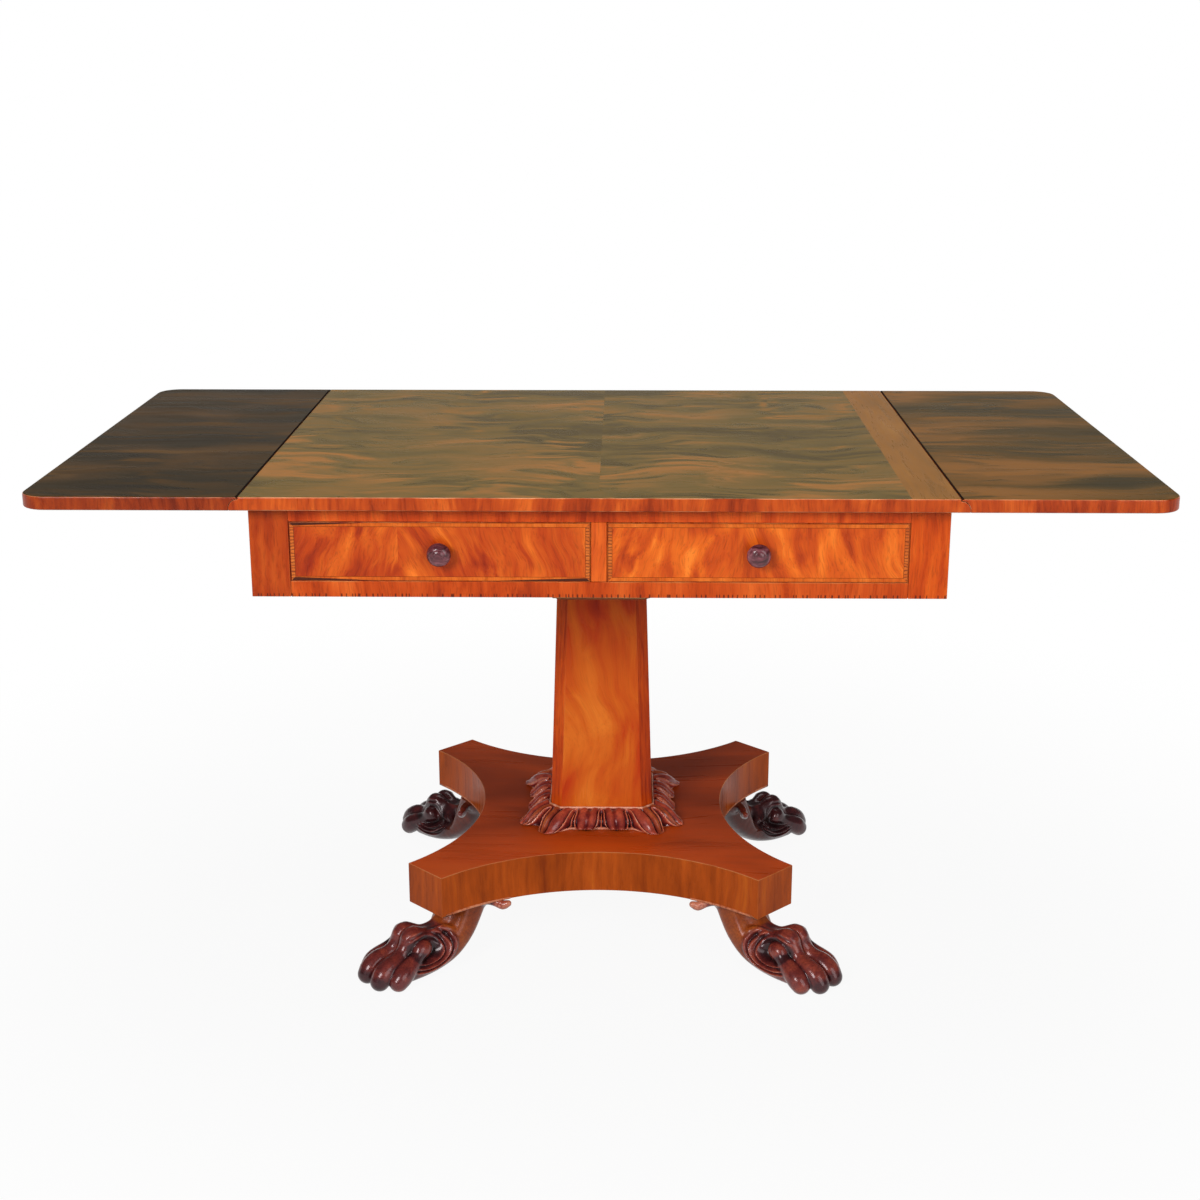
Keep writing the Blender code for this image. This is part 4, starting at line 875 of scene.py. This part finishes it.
for side_name in ("left", "right"):
    low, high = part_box(f"drawer_{side_name}_front")
    middle = (low + high) / 2
    parting = low.x + FLAME_CENTRE[side_name] * (high.x - low.x)
    flame = wood(f"drawer_flame_veneer_{side_name}", FLAME_TONES[side_name], "Z", 0.034, 0.010,
                 warp=0.05, contrast=(0.32, 0.68), fine=0.30, ragged=0.03,
                 feather=((parting, 0, middle.z), FLAME_LEAN),
                 rising=("X", low.x, high.x, FLAME_RISE[side_name]))
    slivers = SLIVERS if side_name == "left" else ()
    band = banded(f"drawer_band_{side_name}", ["#bc4c10", "#d06018", "#e07226"], "Z", False,
                  slivers, low, high)
    end_band = banded(f"drawer_end_band_{side_name}", ["#b8521a", "#ca6524", "#d87630"], "X", True,
                      (), low, high)
    body = f"drawer_{side_name}"
    work = bmesh.new()
    bmesh.ops.create_cube(work, size=1, matrix=Matrix.Translation(middle)
                          @ Matrix.Diagonal((*(high - low), 1)))
    face = min(work.faces, key=lambda face: face.calc_center_median().y)
    # The outer ring is the painted shadow of the gap round the drawer; the ring between band and
    # field is a dark line
    gap_shadows = bmesh.ops.inset_region(work, faces=[face], thickness=GAP_SHADOW_WIDTH)["faces"]
    bands = bmesh.ops.inset_region(work, faces=[face], thickness=BAND_WIDTH)["faces"]
    lines = bmesh.ops.inset_region(work, faces=[face], thickness=BAND_LINE)["faces"]
    for ring_faces, choice in ((gap_shadows, (3, 3)), (bands, (1, 2)), (lines, (3, 3))):
        for piece in ring_faces:
            centre = piece.calc_center_median()
            upright = abs(centre.x - middle.x) > (high.x - low.x) / 2 - 2 * BAND_WIDTH
            piece.material_index = choice[1] if upright else choice[0]
    mesh = eased(work, FINE_ARRIS, f"veneered_drawer_front_{side_name}")
    for material in (flame, band, end_band, line_and_gap_shadow_wood):
        mesh.materials.append(material)
    true_faces(show(f"veneered_drawer_front_{side_name}", mesh, body, "polished_mahogany",
                    f"drawer_{side_name}_front"))
    for board, axis in (("inner_side", "Y"), ("outer_side", "Y"), ("back", "X"), ("bottom", "X")):
        dress(f"drawer_{side_name}_{board}", f"sawn_drawer_{side_name}_{board}", body,
              "carcase_pine", pine[axis], BOX_ARRIS)


# Knobs: mushroom turnings in rosewood, dark with purple streaks, with a fine bead cut round the
# crown, polished on the lathe and dowelled through the drawer fronts.
KNOB_STEPS = 64
KNOB_PROFILE = ((0.0, 0.0260), (0.0030, 0.0258), (0.0060, 0.0251), (0.0070, 0.0246),
                (0.0076, 0.0240), (0.0083, 0.0241), (0.0098, 0.0234),
                (0.0120, 0.0219), (0.0140, 0.0198), (0.0151, 0.0180), (0.0155, 0.0164),
                (0.0152, 0.0150), (0.0140, 0.0138), (0.0118, 0.0123), (0.0097, 0.0105),
                (0.0082, 0.0084), (0.0076, 0.0062), (0.0080, 0.0044), (0.0094, 0.0034),
                (0.0104, 0.0026), (0.0106, 0.0016), (0.0105, 0.0003), (0.0060, 0.0003),
                (0.0060, -0.0200), (0.0, -0.0200))
rosewood = wood("turned_rosewood", ["#2c0e12", "#4e1f26", "#70373f", "#905660"], "X", 0.012, 0.003,
                rough=0.22, gloss=0.5, worn="#8a5456")
for side_name in ("left", "right"):
    low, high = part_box(f"drawer_{side_name}_knob")
    middle = (low + high) / 2
    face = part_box(f"drawer_{side_name}_front")[0].y
    work = bmesh.new()
    rings = []
    for radius, along in KNOB_PROFILE:
        rings.append([work.verts.new((middle.x + radius * math.cos(2 * math.pi * i / KNOB_STEPS),
                                      face - along,
                                      middle.z + radius * math.sin(2 * math.pi * i / KNOB_STEPS)))
                      for i in range(KNOB_STEPS)])
    for here, after in zip(rings, rings[1:]):
        for i in range(KNOB_STEPS):
            k = (i + 1) % KNOB_STEPS
            work.faces.new((here[i], here[k], after[k], after[i]))
    bmesh.ops.remove_doubles(work, verts=work.verts, dist=MERGE_DISTANCE)
    bmesh.ops.recalc_face_normals(work, faces=work.faces)
    mesh = smoothed(work, "turned_knob", 50)
    mesh.materials.append(rosewood)
    show(f"turned_knob_{side_name}", mesh, f"drawer_{side_name}", "turned_rosewood",
         f"drawer_{side_name}_knob")


# Top and leaves: mahogany boards veneered with flame figure, book-matched at the middle of the
# # centre, with a plain strip at its right end. Polished to a dark gloss above, left brighter on
# the
# # edges, with rule joints between, whose lines are near-black: partly old dust and partly painted
# # shade of the joints' gaps.
STRIP_WIDTH = 0.062
top_wood = wood("flame_mahogany_top", ["#54431b", "#6b5625", "#805e28", "#9c672b"], "X", 0.085,
                0.017, gloss=0.16, warp=0.20, mirror=True, fine=0.34, ragged=0.14, pores=0.0,
                contrast=(0.38, 0.63), rising=("Y", -0.36, 0.20, 0.03))
strip_wood = wood("straight_mahogany_strip", ["#80561f", "#905f24", "#9c6a2c"], "Y", 0.06, 0.006,
                  gloss=0.12, warp=0.02, pores=0.03)
# The rule joint's line: near-black faces, partly old dust and partly painted shade of the joint's
# gap
JOINT_LINE = 0.0024
joint_dust_and_shade = wood("joint_dust_and_shade", ["#070504", "#120b07", "#1c120b"], "Y", 0.02, 0.004, rough=0.6,
                  gloss=0.02, worn="#1c120b")
EDGE_TONES = {"top": ["#852a08", "#a83c0f", "#bd4c14", "#d2611e"],
              "left": ["#681f06", "#842c0a", "#97380f", "#a94a16"],
              "right": ["#80270a", "#a0380e", "#b54613", "#c8591c"]}
LEAF_TONES = {"left": ["#241b08", "#32250b", "#463010", "#5a3e16"],
              "right": ["#3b3014", "#513d17", "#6c4a1b", "#845724"]}
edge_wood = {place_name: wood(f"top_edge_crossband_{place_name}", tones, "Z", 0.035, 0.006,
                              worn="#dc9a70") for place_name, tones in EDGE_TONES.items()}
leaf_wood = {side_name: wood(f"flame_mahogany_leaf_{side_name}", tones, "X", 0.10, 0.017,
                             gloss=0.06, warp=0.12, fine=0.36, ragged=0.16, pores=0.0,
                             contrast=(0.37, 0.63)) for side_name, tones in LEAF_TONES.items()}
strip_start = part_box("leaf_right")[0].x - STRIP_WIDTH
for node, body, material, edging in (
        ("top_board", "frame", top_wood, edge_wood["top"]),
        ("leaf_left", "leaf_left", leaf_wood["left"], edge_wood["left"]),
        ("leaf_right", "leaf_right", leaf_wood["right"], edge_wood["right"])):
    work = cad_copy(node)
    crown = [face for face in work.faces
             if face.normal.z > 0.9 and face.calc_center_median().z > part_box(node)[1].z - 0.001]
    inner = min((v.co.x for face in crown for v in face.verts), key=abs)
    cut = strip_start if node == "top_board" else inner + math.copysign(JOINT_LINE, inner)
    bmesh.ops.bisect_plane(work, geom=[*crown, *{edge for face in crown for edge in face.edges},
                                       *{v for face in crown for v in face.verts}],
                           plane_co=(cut, 0, 0), plane_no=(1, 0, 0))
    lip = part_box(node)[1].z - JOINT_LINE
    mesh = eased(work, FINE_ARRIS, f"veneered_{node}")
    mesh.materials.clear()
    for finish in (material, edging, strip_wood, joint_dust_and_shade):
        mesh.materials.append(finish)
    for face in mesh.polygons:
        face.material_index = 0 if abs(face.normal.z) > 0.9 else 1
        if node == "top_board" and face.normal.z > 0.9 and face.center.x > cut:
            face.material_index = 2
        if node == "top_board" and abs(face.normal.x) > 0.2 and face.center.z > lip:
            face.material_index = 3
        if node != "top_board" and face.normal.z > 0.2 and abs(face.center.x) < abs(cut):
            face.material_index = 3
    true_faces(show(f"veneered_{node}", mesh, body, "flame_mahogany_top", node))


# Hinges and pins: cast iron flaps let in flush under the top, and the flies' iron pins. Bare
# metal, dark and rusted in patches. Three slotted screws hold each flap to its leaf.
iron, tree, shader, place = begin("hinge_iron")
bloom = add(tree, "TexNoise", {"Scale": 1 / 0.012, "Detail": 5.0}, {"Vector": place})
rusted = add(tree, "ValToRGB", {"stops": [
    (0.35, "#3a3430"), (0.55, "#554a42"), (0.72, "#6b4028")]}, {"Fac": bloom})
bare = add(tree, "MapRange", {"From Min": 0.45, "From Max": 0.7, "To Min": 0.95,
           "To Max": 0.1}, {"Value": bloom})
dull = add(tree, "MapRange", {"From Min": 0.3, "From Max": 0.7, "To Min": 0.38,
           "To Max": 0.75}, {"Value": bloom})
pitted = add(tree, "Bump", {"Strength": 0.3, "Distance": 0.0004}, {"Height": bloom})
settle(tree, shader, {}, {"Base Color": rusted, "Metallic": bare, "Roughness": dull,
                          "Normal": pitted})
for node, made in nodes.items():
    if node.startswith("hinge_") or node.startswith("fly_pin_"):
        made.data.materials.clear()
        made.data.materials.append(iron)
SCREW_RADIUS = 0.0036
SCREW_PROUD = 0.0006
SLOT_WIDTH = 0.0009
# Screws on a flap: distance from its outer edge, and distance along it from its middle
SCREW_PLACES = ((0.008, -0.013), (0.008, 0.013), (0.022, 0.0))
tree, given, (head_size, head_depth, slot_size) = grower_tree(
    "hinge_screws", "Head Radius", "Head Depth", "Slot Width")
head = add(tree, "GeometryNodeMeshCylinder", {"Vertices": 20},
           {"Radius": given.outputs["Head Radius"], "Depth": given.outputs["Head Depth"]})
slot_box = add(tree, "CombineXYZ", {"X": 0.02}, {"Y": given.outputs["Slot Width"],
               "Z": given.outputs["Head Depth"]})
cutter = add(tree, "GeometryNodeMeshCube", {}, {"Size": slot_box})
drop = add(tree, "Math", {"operation": "MULTIPLY", 1: -0.6}, {0: given.outputs["Head Depth"]})
sunk = add(tree, "CombineXYZ", {}, {"Z": drop})
lowered = add(tree, "GeometryNodeTransform", {}, {"Geometry": cutter.outputs["Mesh"],
              "Translation": sunk})
slotted = add(tree, "GeometryNodeMeshBoolean", {"operation": "DIFFERENCE"},
              {"Mesh 1": head.outputs["Mesh"], "Mesh 2": lowered})
chance = add(tree, "FunctionNodeRandomValue", {"data_type": "FLOAT", "Max": math.pi, "Seed": 3})
turn = add(tree, "CombineXYZ", {}, {"Z": chance.outputs[1]})
placed = add(tree, "GeometryNodeInstanceOnPoints", {}, {"Points": given.outputs["Geometry"],
             "Instance": slotted, "Rotation": turn})
end_tree(tree, placed, iron)
for side_name, side in (("left", -1), ("right", 1)):
    spots = []
    for end_name in ("front", "back"):
        low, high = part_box(f"hinge_moving_{side_name}_{end_name}")
        outer = high.x if side > 0 else low.x
        for inward, along in SCREW_PLACES:
            spots.append((outer - side * inward, (low.y + high.y) / 2 + along, low.z))
    marks = bpy.data.meshes.new("screw_places")
    marks.from_pydata(spots, [], [])
    screws = grown("hinge_screws", marks, tree, {
        head_size: SCREW_RADIUS, head_depth: 2 * SCREW_PROUD, slot_size: SLOT_WIDTH})
    show(f"hinge_screws_{side_name}", screws, f"leaf_{side_name}", "hinge_iron")


# Studio: a pale floor that takes the shadow and fades to white, soft lamps in front and above,
# and a camera at the photograph's height and distance.
floor_mesh = bpy.data.meshes.new("studio_floor")
floor_mesh.from_pydata([(-20, -20, 0), (20, -20, 0), (20, 20, 0), (-20, 20, 0)], [],
                       [(0, 1, 2, 3)])
floor = stand("studio_floor", floor_mesh)
paper, tree, shader, place = begin("studio_paper")
settle(tree, shader, {"Base Color": linear("#b8b7b5"), "Roughness": 0.9,
                      "Specular IOR Level": 0.0}, {})


def rays_shown(tree):
    """Camera rays, and with them the glossy and transmission rays that show the background."""
    path = add(tree, "LightPath").outputs
    seen = path["Is Camera Ray"]
    for kind in ("Is Glossy Ray", "Is Transmission Ray"):
        seen = add(tree, "Math", {"operation": "MAXIMUM"}, {0: seen, 1: path[kind]})
    return path["Is Camera Ray"], seen


_, seen = rays_shown(tree)
away = add(tree, "VectorMath", {"operation": "LENGTH"}, {0: place}).outputs["Value"]
faded = add(tree, "MapRange", {"interpolation_type": "SMOOTHSTEP", "From Min": 0.5,
            "From Max": 1.7, "To Min": 0.93, "To Max": 1.0}, {"Value": away})
part = add(tree, "Math", {"operation": "MULTIPLY"}, {0: seen, 1: faded})
white = add(tree, "Emission", {"Color": (1, 1, 1, 1), "Strength": 1.0})
mixed = add(tree, "MixShader", {}, {0: part, 1: shader, 2: white})
tree.links.new(mixed.outputs[0], tree.nodes["Material Output"].inputs["Surface"])
floor_mesh.materials.append(paper)

world = bpy.data.worlds.new("studio_world")
bpy.context.scene.world = world
world.use_nodes = True
tree = world.node_tree
camera_ray, seen = rays_shown(tree)
heading = add(tree, "TexCoord").outputs["Generated"]
climb = add(tree, "SeparateXYZ", {}, {0: heading}).outputs[2]
backdrop = add(tree, "MapRange", {"interpolation_type": "SMOOTHSTEP", "From Min": 0.06,
               "From Max": 0.17, "To Min": 1.0, "To Max": 0.08}, {"Value": climb})
# The camera sees white at every height. Reflections see it near the horizon, and dark above
backdrop = add(tree, "Math", {"operation": "MAXIMUM"}, {0: backdrop, 1: camera_ray})
level = add(tree, "Mix", {"data_type": "FLOAT", 2: 0.34}, {0: seen, 3: backdrop})
backing = tree.nodes["Background"]
backing.inputs["Color"].default_value = (1, 1, 1, 1)
tree.links.new(level.outputs[0], backing.inputs["Strength"])

for name, place, size, power in (("key_lamp", (-1.7, -3.4, 2.2), 1.4, 92),
                                 ("fill_lamp", (2.1, -3.2, 1.7), 2.6, 54),
                                 ("top_lamp", (0.0, 0.6, 3.2), 2.4, 48)):
    lamp = bpy.data.lights.new(name, "AREA")
    lamp.shape = "DISK"
    lamp.size = size
    lamp.energy = power
    holder = stand(name, lamp)
    holder.location = place
    aim = Vector((0, 0, 0.45)) - Vector(place)
    holder.rotation_euler = aim.to_track_quat("-Z", "Y").to_euler()

lens = bpy.data.cameras.new("studio_camera")
lens.lens = 55.26
lens.sensor_width = 36
camera = stand("studio_camera", lens)
camera.location = (0.031, -2.612, 1.258)
camera.rotation_euler = (math.radians(90 - 16.52), 0, math.radians(0.75))
bpy.context.scene.camera = camera
bpy.context.scene.view_settings.view_transform = "Standard"
